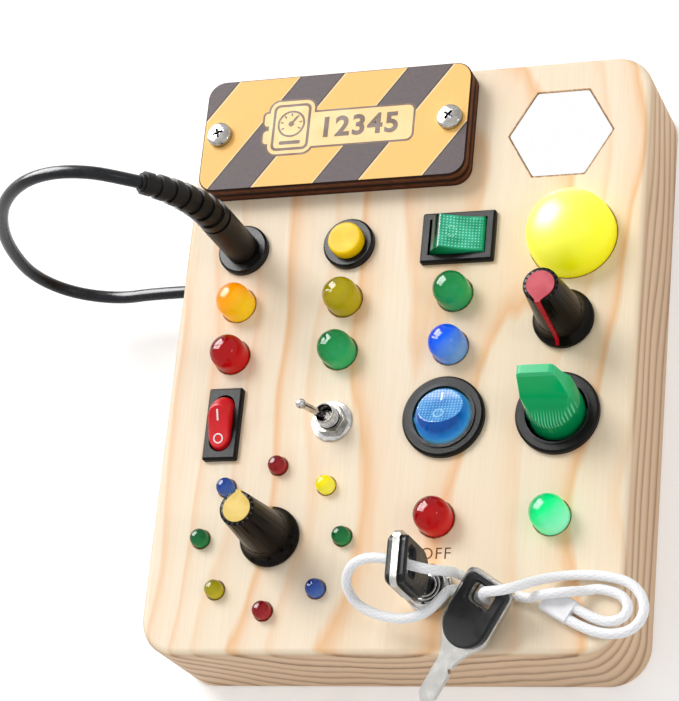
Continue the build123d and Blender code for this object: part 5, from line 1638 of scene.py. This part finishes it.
@dataclass
class Lamps:
    """Ten sorts of round lamp, each a flanged lens on two wire legs, and the warning dome."""

    large: LampSize = LampSize(5.0, 3.8, 5.7, 1.5, 9.0, 18, 56)
    small: LampSize = LampSize(2.5, 1.6, 2.9, 1.0, 4.0, 12, 32)
    leg_x: float = 1.27
    leg_w: float = 0.5
    skin: float = 3.5
    # way towards the painted bright side of each lens
    bright: Point = (0.62, -0.62, -0.15)
    dome_r: float = 12.2
    dome_rise: float = 2.0
    dome_wall: float = 1.5
    dome_flange: Spot = (13.6, -5.0)
    # way towards the painted highlight on the warning dome
    dome_bright: Point = (-0.42, 0.28, 0.86)

    @staticmethod
    def places() -> list[Spot]:
        """Places of the large lamps: six in two rows, and two beside the dial."""
        rows = [(x, y) for x in COLUMNS[:3] for y in LAMP_ROWS[:2]]
        return rows + [(x, LAMP_ROWS[2]) for x in COLUMNS[2:]]

    @staticmethod
    def ring() -> list[Spot]:
        """Places of the eight small lamps, clockwise from the top of their ring."""
        turns = [math.radians(45 * i) for i in range(8)]
        return [(DIAL_AT[0] + RING_R * math.sin(a), DIAL_AT[1] + RING_R * math.cos(a)) for a in turns]

    def lens(self, size: LampSize) -> Piece:
        """One lamp at the origin, its face at height 0.

        Args:
            size: its sizes.

        Returns:
            The lamp, with its painted light and shade written on its lens.
        """
        foot = -self.skin - size.flange_t
        outline = [(0, foot), (size.flange, foot), (size.flange, -self.skin), (size.radius, -self.skin),
                   (size.radius, 0), *bow(size.radius, 0, 90, size.steps, (0, size.rise))]
        body = Bench.turned("lens", outline, sides=size.sides)
        centre = Vector((0, 0, size.rise * 0.4))
        bright = Vector(self.bright).normalized()
        # painted light and shade: brighter towards one side of the lens
        Bench.measure(body, "glow", lambda p: 0.5 + 0.5 * ((p - centre) / size.radius).dot(bright))
        Bench.smooth(body, 40)
        body.data.materials.append(None)
        parts = [body]
        for i, side in enumerate((-1, 1)):
            leg = Bench.slab(f"leg_{i}", (self.leg_w, self.leg_w),
                             (side * self.leg_x, 0, foot - size.legs), size.legs)
            Bench.measure(leg, "glow", lambda p: 0.0)
            for _ in range(2):
                leg.data.materials.append(None)
            for face in leg.data.polygons:
                face.material_index = 1
            parts.append(leg)
        return Bench.joined("lamp", *parts)

    @staticmethod
    def row(name: str, finish: LampLens, slot: str, node: str, places: Sequence[Spot],
            pattern: Piece) -> Piece:
        """All lamps of one sort, as one piece.

        Args:
            name: name of the piece.
            finish: finish of its lenses.
            slot: the record's material slot.
            node: the CAD node that it replaces.
            places: where the lamps stand.
            pattern: one such lamp at the origin.

        Returns:
            The piece.
        """
        lamps = [Bench.twin(pattern, f"{name}_{i}", shift(x, y, FACE)) for i, (x, y) in enumerate(places)]
        piece = Bench.coat(Bench.joined(name, *lamps), finish, NICKEL)
        piece["dressed"] = True
        return dress(piece, finish, "case", slot, node)

    def dome(self) -> None:
        """The hollow frosted warning lamp."""
        inner_r, (flange, foot), rise = self.dome_r - self.dome_wall, self.dome_flange, (0, self.dome_rise)
        outline = [(inner_r, foot), (flange, foot), (flange, -self.skin), (self.dome_r, -self.skin),
                   (self.dome_r, 0), *bow(self.dome_r, 0, 90, 28, rise), *bow(inner_r, 90, 0, 20, rise),
                   (inner_r, foot)]
        piece = Bench.turned("warning_dome", outline, (*DOME_AT, FACE), 96)
        light = Vector(self.dome_bright).normalized()
        centre = Vector((*DOME_AT, FACE + self.dome_rise))
        # painted highlight: lighter towards the key light
        Bench.measure(piece, "glow", lambda p: 0.5 + 0.5 * ((p - centre) / self.dome_r).dot(light))
        dress(Bench.smooth(piece, 40), FrostedDome(), "case", "dome_yellow", "dome_lens")

    def build(self) -> None:
        """Build every lamp."""
        spots = self.places()
        amber, red, olive, green, green_up, blue, red_low, last = [[spot] for spot in spots]
        big = self.lens(self.large)
        sorts = [
            ("amber", amber, ("#E87800", "#FFA000", "#FFD21E", Light.ON)),
            ("olive", olive, ("#7C7000", "#B6A200", "#D8C41C")),
            ("red", red + red_low, ("#6C0003", "#B40408", "#E01014")),
            ("green", green + green_up, ("#046030", "#129048", "#3CC878")),
            ("blue", blue, ("#0430D0", "#0868FF", "#84BCFF", Light.DIM)),
            ("bright_green", last, ("#00A45C", "#06EE86", "#90FFCC", Light.ON)),
        ]
        for tint, places, shades in sorts:
            s = "s" if len(places) > 1 else ""
            self.row(f"{tint}_lamp{s}", LampLens(f"{tint}_lens", *shades), f"led_{tint}", f"led{s}_{tint}",
                     places, big)
        bpy.data.objects.remove(big)
        small = self.lens(self.small)
        ring = self.ring()
        tints = [
            ("red", "led_red", ("#5A0008", "#8E0C14", "#B83038")),
            ("yellow", "small_led_yellow", ("#C8B400", "#F4E400", "#FFF65A", Light.ON)),
            ("green", "led_green", ("#04401C", "#0C6A32", "#2E9A58")),
            ("blue", "small_led_blue", ("#10286E", "#26489E", "#5A80D0")),
        ]
        rows = [self.row(f"small_{tint}_lamps", LampLens(f"small_{tint}_lens", *shades), slot,
                         f"small_leds_{tint}", ring[i::4], small)
                for i, (tint, slot, shades) in enumerate(tints)]
        spent = Vector(ring[5]) * MM
        Bench.repaint(rows[1], LampLens("small_olive_lens", "#6A6000", "#A89C00", "#D8CC30"),
                      lambda face: face.material_index == 0 and (face.center.xy - spent).length < 4 * MM)
        bpy.data.objects.remove(small)
        self.dome()


# ------------------------------------------------------------------ button, jack and lead
@dataclass
class PushButton:
    """Sprung button in a threaded collar, with its coil."""

    cap_r: float = 5.0
    top: float = 5.2
    skirt: float = 6.2
    edge: float = 0.8
    slack: float = 0.05
    foot: Spot = (2.0, 1.15)
    stem_r: float = 1.5
    crown_r: float = 2.6
    travel: float = 2.2

    def build(self) -> None:
        """Build the collar and a cap with a softly rounded edge and a shallow crown."""
        fitted("button_housing", "button_collar", 30, BLACK, "case", "switch_black")
        at = middle("button_cap")
        low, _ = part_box("button_cap")
        foot = low.z / MM - FACE
        wide, thick = self.foot
        under = self.top - self.skirt
        outline = [(0, foot), (wide, foot), (wide, foot + thick), (self.stem_r, foot + thick),
                   (self.stem_r, under), (self.cap_r - self.slack, under),
                   *bow(self.edge, 0, 90, 6, (self.cap_r - self.edge, self.top - self.edge)),
                   (self.crown_r, self.top - self.slack), (0, self.top - self.slack)]
        cap = Bench.turned("button_crown", outline, (at.x, at.y, FACE), 64)
        yellow = Moulded("button_yellow", "#FFD400", "#F8C800", 0.42, 0.01, 0.12, 0.15)
        dress(Bench.smooth(cap, 40), yellow, "button", "button_yellow", "button_cap")
        spring = fitted("button_spring", "button_coil", 60,
                        Plated("spring_steel", "#B8B6B2", "#8E8C88", 0.25), "button", "spring_wire")
        low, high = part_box("button_spring")
        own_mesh(spring)


@dataclass
class PlugLead:
    """Jack in the face, the plug in it, and the lead back into the side of the case."""

    radius: float = 1.8
    length: float = 153.7
    gland: Point = (-70.5, 28.0, 17.0)
    route: tuple[Point, ...] = (
        (-59.175, 31.156, 82.175), (-62.79, 30.65, 86.42), (-69.4, 30.6, 91.0), (-78.2, 30.6, 92.8),
        (-87.6, 30.5, 90.6), (-96.4, 30.3, 84.4), (-104.3, 30.1, 74.8), (-110.4, 29.9, 62.6),
        (-114.6, 29.7, 48.6), (-116.2, 29.4, 31.4), (-109.4, 29.0, 18.8), (-96.0, 28.5, 13.7),
        (-83.0, 28.0, 17.0), (-70.5, 28.0, 17.0))

    def build(self) -> None:
        """Build the lead and what it joins."""
        points = [tuple(v * MM for v in p) for p in reversed(self.route)]
        path = Path("plug_lead", points)
        lead = path.tube(lambda gone, share: self.radius * MM, 0.8 * MM, 28)
        lead.data.materials.append(LEAD_RUBBER.material())
        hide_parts("cable")
        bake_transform(lead)
        handle = fitted("plug_body", "plug_handle", 40, PLUG_RUBBER, "plug", "plug_black")
        barrel = fitted("plug_barrel", "plug_tip", 40, NICKEL, "plug", "plug_black")
        bush = fitted("cable_gland", "lead_bush", 40, BLACK, "case", "switch_black")
        fitted("jack_socket", "jack_collar", 30, BLACK, "case", "switch_black")
        [list(p) for _, p in path.stations(1.5 * MM)]


# ------------------------------------------------------------------ rockers
class Mark(Enum):
    """What is moulded on a rocker."""

    BAR = "bar"
    RING = "ring"


@dataclass
class Rocker:
    """A rocker switch: bezel and key, with its marks moulded on the finger surface."""

    name: str
    at: Spot
    heading: float
    finish: Finish
    side_finish: Finish
    # painted light and shade on the key's sides, by place on the key
    glow: Callable[[Vector], float]
    slot: str
    marks: tuple[tuple[Mark, float, float], ...]
    mark_finish: Finish
    dotted: bool = False
    tilt: float = 20.0
    pivot: float = -0.3
    reach: float = 8.0
    end: float = 43.0
    dip: float = 0.5
    mark_sunk: float = 0.02
    bar_w: float = 0.5
    bar_t: float = 0.16
    ring_t: float = 0.14
    line: float = 0.16
    dot: tuple[Spot, ...] = ((0, 0.13), (0.17, 0.1), (0.2, 0))
    dots: int = 12

    def half(self) -> float:
        """Half the length of the finger surface."""
        return self.reach * math.cos(math.radians(self.end))

    def surface(self, along: float) -> float:
        """Height of the finger surface above the pivot, at a distance along the key."""
        top = self.reach * math.sin(math.radians(self.end))
        return top - self.dip * (1 - (along / self.half()) ** 2)

    def mark(self, kind: Mark, along: float, size: float) -> Piece:
        """One moulded mark, standing proud of the finger surface.

        Args:
            kind: a bar or a ring.
            along: its place along the key.
            size: length of the bar, or radius of the ring.

        Returns:
            The mark.
        """
        slope = Matrix.Rotation(-math.atan(2 * self.dip * along / self.half() ** 2), 4, "Y")
        place = leaning(*self.at, FACE + self.pivot, self.heading, self.tilt) @ shift(
            along, 0, self.surface(along) - self.mark_sunk) @ slope
        name = f"{self.name}_{kind.value}"
        if kind is Mark.BAR:
            mark = Bench.slab(name, (size, self.bar_w), (0, 0, 0), self.bar_t, 0.2)
        elif self.dotted:
            turns = [math.radians(360 / self.dots * i) for i in range(self.dots)]
            mark = Bench.joined(name, *[
                Bench.turned(f"{name}_{i}", self.dot, (size * math.cos(a), size * math.sin(a), 0), 10)
                for i, a in enumerate(turns)])
        else:
            thin = size * self.line
            mark = Bench.turned(name, [
                (size - thin, 0), (size + thin, 0), (size + thin * 0.8, self.ring_t),
                (size - thin * 0.8, self.ring_t), (size - thin, 0)], sides=40)
        return Bench.moved(mark, place)

    def build(self) -> None:
        """Build the bezel, the key and the marks."""
        node, body = f"{self.name}_rocker_housing", f"{self.name}_rocker"
        bezel = Bench.carried(node, f"{self.name}_bezel", 30)
        Bench.weighted(Bench.soften(bezel, 0.25, 3, 50), 40)
        dress(bezel, BEZEL, "case", "switch_black", node)
        # painted highlight on the top of the bezel's rim
        Bench.repaint(bezel, BEZEL_RIM_HIGHLIGHT, lambda face: face.center.z > RIM_Z * MM)
        key = Bench.carried(f"{body}_key", f"{self.name}_key", 40)
        foot = Vector((*self.at, FACE))
        # painted light and shade: a value written on the key runs its side colour from deep to bright
        Bench.measure(key, "glow", lambda p: self.glow(p - foot))
        Bench.coat(key, self.side_finish)
        up = (leaning(0, 0, 0, self.heading, self.tilt).to_3x3() @ Vector((0, 0, 1))).normalized()
        Bench.repaint(key, self.finish, lambda face: face.normal.dot(up) > 0.9)
        key["dressed"] = True
        dress(key, self.finish, body, self.slot, f"{body}_key")
        marks = Bench.joined(f"{self.name}_marks", *[self.mark(*m) for m in self.marks])
        dress(Bench.smooth(marks, 40), self.mark_finish, body, self.slot)


@dataclass
class Paddle:
    """Round switch with a duck-bill lever."""

    at: Spot = (COLUMNS[3], SWITCH_ROW)
    pivot: float = -0.3
    lean: float = 7.5
    foot: float = 6.4
    shoulder: float = 9.4
    tip: float = 24.8
    waist: float = 0.27
    half_w: float = 8.0
    drawn_in: float = 1.1

    def slim(self, piece: Piece) -> None:
        """Hollow the bill between its shoulder and its tip, and draw its left shoulder in.

        Args:
            piece: the lever.
        """
        place = leaning(*self.at, FACE + self.pivot, -90, self.lean)
        back = place.inverted()
        for vertex in piece.data.vertices:
            spot = back @ vertex.co / MM
            rise = (spot.z - self.shoulder) / (self.tip - self.shoulder)
            if 0 < rise < 1:
                spot.x *= 1 - self.waist * math.sin(math.pi * rise)
            if spot.y < 0 and spot.z > self.foot:
                spot.y *= 1 - self.drawn_in / self.half_w * min(1.0, 1 - rise)
            vertex.co = place @ (spot * MM)

    def build(self) -> None:
        """Build the bezel and the lever."""
        bezel = fitted("paddle_housing", "paddle_bezel", 30, BEZEL, "case", "switch_black")
        # painted highlight on the top of the bezel's rim
        Bench.repaint(bezel, BEZEL_RIM_HIGHLIGHT, lambda face: face.center.z > RIM_Z * MM)
        bill = Bench.carried("paddle_lever", "paddle_bill", 32)
        self.slim(bill)
        Bench.smooth(Bench.soften(bill, 0.3, 3, 34), 40)
        dress(bill, PaddleGreen(), "paddle", "paddle_green", "paddle_lever")


# ------------------------------------------------------------------ toggle
@dataclass
class Toggle:
    """Small bat-handle toggle in a threaded bush, with its washer and nut."""

    at: Spot = (COLUMNS[1], SWITCH_ROW)
    bush_r: float = 3.0
    mouth_r: float = 2.7
    slack: float = 0.05
    lip_r: float = 2.45
    neck_z: float = 5.3
    nut_top: float = 2.9
    thread_top: float = 6.5
    thread_pitch: float = 0.9
    thread_depth: float = 0.3
    thread_wall: float = 0.2
    flank: Point = (0.5, 0.65, 0.85)
    washer: Point = (3.1, 5.8, 0.7)

    def thread(self) -> Piece:
        """The exposed turns of the bush's thread.

        Returns:
            The thread, as a closed ring.
        """
        root, z = self.bush_r - self.thread_depth, self.nut_top
        wall = root - self.thread_wall
        outline = [(wall, z)]
        while z < self.thread_top:
            low, high, end = (z + self.thread_pitch * share for share in self.flank)
            outline += [(root, z), (root, low), (self.bush_r, high), (self.bush_r, end)]
            z += self.thread_pitch
        outline += [(root, z), (wall, z), (wall, self.nut_top)]
        return Bench.turned("bush_thread", outline, (*self.at, FACE), 48)

    def bush(self) -> Piece:
        """The bush, turned down where its thread stands, with a lip round its mouth.

        Returns:
            The bush.
        """
        piece = Bench.carried("toggle_bushing", "toggle_bush", 30)
        axis = Vector(self.at) * MM
        stand, neck = (FACE + self.nut_top) * MM, (FACE + self.neck_z) * MM
        for vertex in piece.data.vertices:
            offset = vertex.co.xy - axis
            if vertex.co.z > stand and offset.length > (self.mouth_r + 2 * self.slack) * MM:
                vertex.co.xy = axis + offset * (self.mouth_r + self.slack) / self.bush_r
            elif vertex.co.z > neck and offset.length > self.lip_r * MM:
                vertex.co.xy = axis + offset * self.lip_r / self.mouth_r
        return piece

    def ring(self) -> Piece:
        """A thin washer with a rounded rim.

        Returns:
            The washer.
        """
        hole, rim, thick = self.washer
        edge = bow(thick / 2, -90, 90, 8, (rim - thick / 2, thick / 2))
        return Bench.turned("toggle_lock_washer", [(hole, 0), *edge, (hole, thick), (hole, 0)],
                            (*self.at, FACE), 72)

    def build(self) -> None:
        """Build the bush, lever, washer and nut."""
        axis = Vector(self.at) * MM
        bush = dress(self.bush(), CHROME, "case", "nickel", "toggle_bushing")
        # painted shade: the bore of the bush is painted dark
        bore = (self.lip_r - 0.04) * MM
        Bench.repaint(bush, PAINTED_SHADE_STEEL, lambda face: (face.center.xy - axis).length < bore)
        thread = dress(Bench.smooth(self.thread(), 25), CHROME, "case", "nickel")
        # painted shade: the roots of the thread are painted dark
        root = (self.bush_r - self.thread_wall) * MM
        Bench.repaint(thread, PAINTED_SHADE_STEEL, lambda face: (face.center.xy - axis).length < root)
        fitted("toggle_lever", "toggle_bat", 40, CHROME, "toggle", "nickel")
        dress(Bench.smooth(self.ring(), 25), CHROME, "case", "nickel", "toggle_washer")
        nut = Bench.soften(Bench.carried("toggle_nut", "toggle_hex_nut", 25), 0.18, 2, 50)
        dress(Bench.smooth(nut, 40), NICKEL, "case", "nickel", "toggle_nut")
        recolour(Moulded("toggle_case_blue", "#2C3E66", "#22335A", 0.4), "toggle_body")


# ------------------------------------------------------------------ knobs
@dataclass
class Knob:
    """A fluted knob with a coloured pointer let into its top and side."""

    colour: str
    at: Spot
    heading: float
    top: float
    shaft: str
    cap: Moulded
    strip: Moulded
    slot: str
    neck: Spot = (6.3, 6.6)
    top_r: float = 4.8
    flute: float = 0.45
    slack: float = 0.02
    pointer_dot: float = 0.95
    worn: float = 0.12
    strip_foot: float = 0.62

    def grip(self, z: float) -> float:
        """Radius of the grip between its flutes at a height above the face."""
        share = (z - self.neck[1]) / (self.top - self.neck[1])
        return self.neck[0] + (self.top_r - self.neck[0]) * share

    def shallow(self, piece: Piece) -> None:
        """Draw the flutes out to the shallow ones of a worn mould, away from the pointer.

        Args:
            piece: the knob.
        """
        axis = Vector((*self.at, FACE)) * MM
        ahead = Vector((math.cos(math.radians(self.heading)), math.sin(math.radians(self.heading))))
        for vertex in piece.data.vertices:
            place = (vertex.co - axis) / MM
            out = place.xy.length
            gap = self.grip(place.z) - out
            fluted = place.z > self.neck[1] - self.flute and self.slack < gap < self.flute + 0.1
            if fluted and place.xy.normalized().dot(ahead) < self.pointer_dot:
                vertex.co.xy += place.xy / out * gap * (1 - self.worn) * MM

    def taper(self, piece: Piece) -> None:
        """Narrow the pointer's strip towards its foot.

        Args:
            piece: the pointer.
        """
        axis = Vector((*self.at, FACE)) * MM
        turn = math.radians(self.heading)
        side = Vector((-math.sin(turn), math.cos(turn), 0))
        for vertex in piece.data.vertices:
            place = vertex.co - axis
            share = max(0.0, min(1.0, 1 - place.z / MM / self.top))
            vertex.co -= side * place.dot(side) * share * (1 - self.strip_foot)

    def build(self) -> None:
        """Build the knob and its pointer, and finish the shaft in it."""
        body, knob, strip = f"{self.colour}_dial", f"{self.colour}_knob", f"{self.colour}_pointer"
        skirt = Bench.carried(knob, f"{knob}_body", 62)
        self.shallow(skirt)
        dress(Bench.weighted(skirt, 62), KNOB, body, "knob_black", knob)
        pointer = Bench.carried(strip, f"{knob}_cap", 30)
        self.taper(pointer)
        Bench.smooth(Bench.soften(pointer, 0.16, 2, 50), 50)
        dress(pointer, self.strip, body, self.slot, strip)
        Bench.repaint(pointer, self.cap, lambda face: face.normal.z > 0.98)
        recolour(NICKEL, self.shaft)


# ------------------------------------------------------------------ key switch
@dataclass
class KeySwitch:
    """Lock, the key in it, the spare key and the white cord that ties them together."""

    lock_at: Spot = (14.9, -68.0)
    lock_top: float = 4.3
    lock_rings: Spot = (2.75, 3.7)
    cord_r: float = 1.35
    cord_length: float = 245.84
    strands: int = 8
    lay_length: float = 1.25
    valley: float = 0.1
    slot_up: float = 23.6
    key_2_at: Point = (32.1, -72.2, 39.0)
    lying: Spot = (56.5, 15.0)
    throat: float = -19.0
    blade_w: float = 4.8
    plate_t: float = 1.84
    flare: tuple[Spot, ...] = ((5.6, -12.6), (4.6, -14.2), (3.8, -15.6), (3.2, -17.0), (2.75, -18.2),
                               (2.41, -19.0))
    route: tuple[Point, ...] = (
        (53.053, -76.717, 33.9), (59.482, -80.580, 33.9), (69.5, -80.6, 33.8), (73.6, -74.3, 33.8),
        (69.9, -67.2, 33.8), (60.5, -64.9, 33.8), (50.5, -65.1, 33.8), (44.8, -67.6, 37.7),
        (41.2, -70.9, 43.0), (37.8, -72.4, 44.8), (32.4, -72.4, 44.2), (32.2, -72.3, 33.8),
        (25.6, -69.4, 33.8), (22.2, -69.1, 37.3), (20.9, -73.2, 40.6), (17.4, -77.3, 41.4),
        (11.6, -78.6, 40.8), (4.4, -77.4, 40.4), (-1.8, -74.6, 42.0), (-3.3, -70.4, 47.0),
        (0.8, -67.0, 53.6), (8.3, -66.0, 55.4), (20.7, -69.8, 55.6), (23.6, -67.9, 48.0),
        (23.6, -65.6, 40.0), (25.4, -65.5, 33.8), (31.0, -67.4, 33.8), (37.5, -69.8, 33.8),
        (42.2, -71.3, 33.8), (46.2, -71.4, 37.8), (53.5, -70.6, 37.7), (57.5, -69.3, 33.9),
        (60.8, -68.6, 33.85), (67.0, -70.4, 33.8), (68.9, -73.9, 33.8), (67.0, -77.0, 33.8),
        (61.233, -77.666, 33.9), (54.804, -73.803, 33.9))

    def braid(self, gone: float, share: float) -> float:
        """Radius of the cord, raised where a strand passes over.

        Args:
            gone: distance along it.
            share: share of the way round.

        Returns:
            The radius in metres.
        """
        along = gone / (self.lay_length * MM) / 2
        a, b = self.strands * share + along, self.strands * share - along
        over, under = math.sin(math.pi * (a % 1)), math.sin(math.pi * (b % 1))
        if (math.floor(a) + math.floor(b)) % 2:
            over, under = under, over
        height = math.sqrt(max(over, 0)) * (0.55 + 0.45 * under)
        return self.cord_r * MM * (1 - self.valley + self.valley * height)

    def cord(self, riders: Sequence[Piece]) -> None:
        """The braided cord, both of its ends held in the sleeve.

        Args:
            riders: the pieces that hang on it; not used.
        """
        points = [tuple(v * MM for v in p) for p in self.route]
        path = Path("key_braid", points)
        cord = path.tube(self.braid, 0.2 * MM, 44, "braid")
        dress(cord, Braid(), "key_set", "cord_white", "key_cord")
        [list(p) for _, p in path.stations(1.0 * MM)]

    def neck(self, name: str, place: Matrix) -> Piece:
        """The neck of a key, drawn in from its round head to its blade.

        Args:
            name: name of the piece.
            place: frame of the key, its slot at the origin and its far end up.

        Returns:
            The neck.
        """
        (wide, start), *rest = self.flare
        piece = Bench.slab(name, (2 * wide, 2.0), (0, start + 1.0, -self.plate_t / 2), self.plate_t)
        foot = next(face for face in piece.data.polygons if face.normal.y < -0.9)
        for item in (*piece.data.vertices, *piece.data.edges, *piece.data.polygons):
            item.select = False
        foot.select = True
        for number in foot.vertices:
            piece.data.vertices[number].select = True
        bpy.ops.object.mode_set(mode="EDIT")
        bpy.ops.mesh.select_mode(type="FACE")
        for half, y in rest:
            bpy.ops.mesh.extrude_region_move(TRANSFORM_OT_translate={"value": (0, (y - start) * MM, 0)})
            bpy.ops.transform.resize(value=(half / wide, 1, 1), center_override=(0, y * MM, 0))
            wide, start = half, y
        bpy.ops.mesh.select_mode(type="VERT")
        bpy.ops.object.mode_set(mode="OBJECT")
        return Bench.moved(Bench.soften(piece, 0.08, 1, 50), place)

    def plate(self, number: int, place: Matrix) -> Piece:
        """A key's plate and blade, with the shoulders of its throat drawn in to the neck.

        Args:
            number: 1 for the key in the lock, 2 for the spare one.
            place: frame of the key, its slot at the origin and its far end up.

        Returns:
            The plate with its neck.
        """
        piece = Bench.carried(f"key_{number}_blade", f"plate_{number}", 25)
        back = place.inverted()
        half = self.blade_w / 2
        for vertex in piece.data.vertices:
            spot = back @ vertex.co / MM
            if abs(spot.y - self.throat) < 0.1 and abs(spot.x) > half + 0.1:
                spot.x = math.copysign(half + 0.01, spot.x)
                vertex.co = place @ (spot * MM)
        neck = self.neck(f"neck_{number}", place)
        return Bench.smooth(Bench.joined(f"key_{number}_plate", piece, neck), 25)

    def lock(self) -> None:
        """The chromed barrel with two bright rings round its dark core."""
        fitted("lock_barrel", "lock_flange", 30, CHROME, "case", "lock_dark")
        fitted("lock_core", "lock_plug_core", 30, DARK_STEEL_AND_RECESS_SHADE, "lock_plug", "lock_dark")
        profile = [(0, 0), (0.14, 0.07), (0.3, 0.07), (0.42, 0), (0, -0.05), (0, 0)]
        rings = [Bench.turned(f"ring_{i}", [(radius + r, z) for r, z in profile],
                              (*self.lock_at, FACE + self.lock_top), 56)
                 for i, radius in enumerate(self.lock_rings)]
        dress(Bench.smooth(Bench.joined("lock_rings", *rings), 40), CHROME, "lock_plug", "lock_dark")

    def places(self) -> tuple[Matrix, Matrix]:
        """Frames of the two keys: one stands in the lock, the other lies on the face.

        Returns:
            The frames, each with its slot at the origin and its far end up.
        """
        upright = Matrix(((0, 0, 1), (1, 0, 0), (0, 1, 0))).to_4x4()
        turn, dip = math.radians(self.lying[0]), math.radians(self.lying[1])
        along = Vector((math.sin(turn), -math.cos(turn), 0))
        up = Vector((-math.cos(turn) * math.sin(dip), -math.sin(turn) * math.sin(dip), math.cos(dip)))
        flat = Matrix((along, up.cross(along), up)).transposed().to_4x4()
        return shift(*self.lock_at, FACE + self.slot_up) @ upright, shift(*self.key_2_at) @ flat

    def build(self) -> None:
        """Build the sleeve and the keys, the cord that ties them together, and the lock."""
        white = Moulded("sleeve_white", "#EDEDEF", "#DDDEE2", 0.35, 0.01, 0.5)
        riders = [fitted("cord_sleeve", "cord_clasp", 40, white, "key_set", "sleeve_white")]
        for i, (body, place) in enumerate(zip(("key_1", "key_set"), self.places()), 1):
            blade = dress(self.plate(i, place), STEEL, body, "key_steel", f"key_{i}_blade")
            cover = fitted(f"key_{i}_head", f"key_{i}_cover", 25, KEY_COVER, body, "key_black")
            riders += [blade, cover] if body == "key_set" else []
        self.cord(riders)
        self.lock()


# ------------------------------------------------------------------ inside
@dataclass
class Inside:
    """What the closed case hides: boards, batteries, switch bodies, nuts and terminals."""

    def build(self) -> None:
        """Finish the hidden parts, which keep their CAD shapes."""
        recolour(CircuitResist(), "circuit_boards")
        recolour(Moulded("holder_black", "#1E1E20", "#2A2A2C", 0.5, 0.03), "battery_holder")
        recolour(CellSleeve(), "batteries")
        recolour(NICKEL, "panel_nuts", "shaft_nuts")
        recolour(BRASS, "switch_terminals")
        recolour(Plated("pot_case", "#B9B7B1", "#96948E", 0.3), "potentiometer", "rotary_switch")


# ------------------------------------------------------------------ the whole board
def main() -> None:
    """Build every sub-assembly in order and report each piece."""
    logging.basicConfig(level=logging.INFO, format="%(name)s: %(message)s")
    Studio().build()
    PlugLead().build()
    KeySwitch().build()
    Case().build(Lamps.places(), Lamps.ring(), DOME_AT)
    BackPrint().build()
    WarningSign().build()
    Lamps().build()
    PushButton().build()
    white = Moulded("mark_white", "#F6F4F2", "#ECEAE8", 0.4, 0.01)
    pale_green = Moulded("mark_pale_green", "#C4FFEC", "#A8F4DC", 0.2, 0.0)
    pale_blue = Moulded("mark_pale_blue", "#A8DCF8", "#8CCBF0", 0.2, 0.0)
    red = Moulded("rocker_red", "#E01822", "#D6121C", 0.33, 0.01, 0.25, 0.1)
    green = Prismatic("prism_green", "#1E9870", "#42BC98", "#A0F0D8", cover=0.3, glow=0.08)
    blue = Prismatic("prism_blue", "#2C7CC4", "#549EDA", "#A8D6F6", cover=0.35, glow=0.08)
    green_side = LampLens("rocker_green_side", "#04301F", "#0C8A54", "#2CC088")
    blue_side = LampLens("rocker_blue_side", "#0A4C9E", "#2688DC", "#86DCFF", Light.ON)
    Rocker("red", (COLUMNS[0], SWITCH_ROW), 90, red, red, lambda p: 0.0, "rocker_red",
           ((Mark.BAR, 3.1, 3.2), (Mark.RING, -3.4, 1.25)), white).build()
    # green key's sides: painted light and shade, brighter towards +X and towards -Y
    Rocker("green", (COLUMNS[2], 32.6), 180, green, green_side,
           lambda p: 0.5 + 0.09 * (p.x + 3.5) - 0.08 * (p.y + 5), "rocker_green",
           ((Mark.RING, 2.6, 1.5),), pale_green, dotted=True).build()
    # blue key's sides: painted light, brighter towards the bottom of the key
    Rocker("blue", (COLUMNS[2], SWITCH_ROW), -90, blue, blue_side, lambda p: 1.15 - 0.22 * p.z,
           "rocker_blue", ((Mark.BAR, -3.3, 2.6), (Mark.RING, 2.5, 1.35)), pale_blue).build()
    Paddle().build()
    Toggle().build()
    Knob("red", (COLUMNS[3], 6.7), -96.0, 24.0, "pot_shaft",
         Moulded("cap_red", "#C8404F", "#B93044", 0.5, 0.04, 0.15),
         Moulded("strip_red", "#D20A26", "#C20720", 0.3, 0.004, 0.1), "pointer_red").build()
    Knob("yellow", DIAL_AT, 90.0, 25.0, "rotary_shaft",
         Moulded("cap_yellow", "#E6C660", "#DAB648", 0.5, 0.04, 0.15),
         Moulded("strip_yellow", "#D9B23A", "#CCA22C", 0.3, 0.004, 0.12), "pointer_yellow").build()
    Inside().build()


if __name__ == "__main__":
    main()
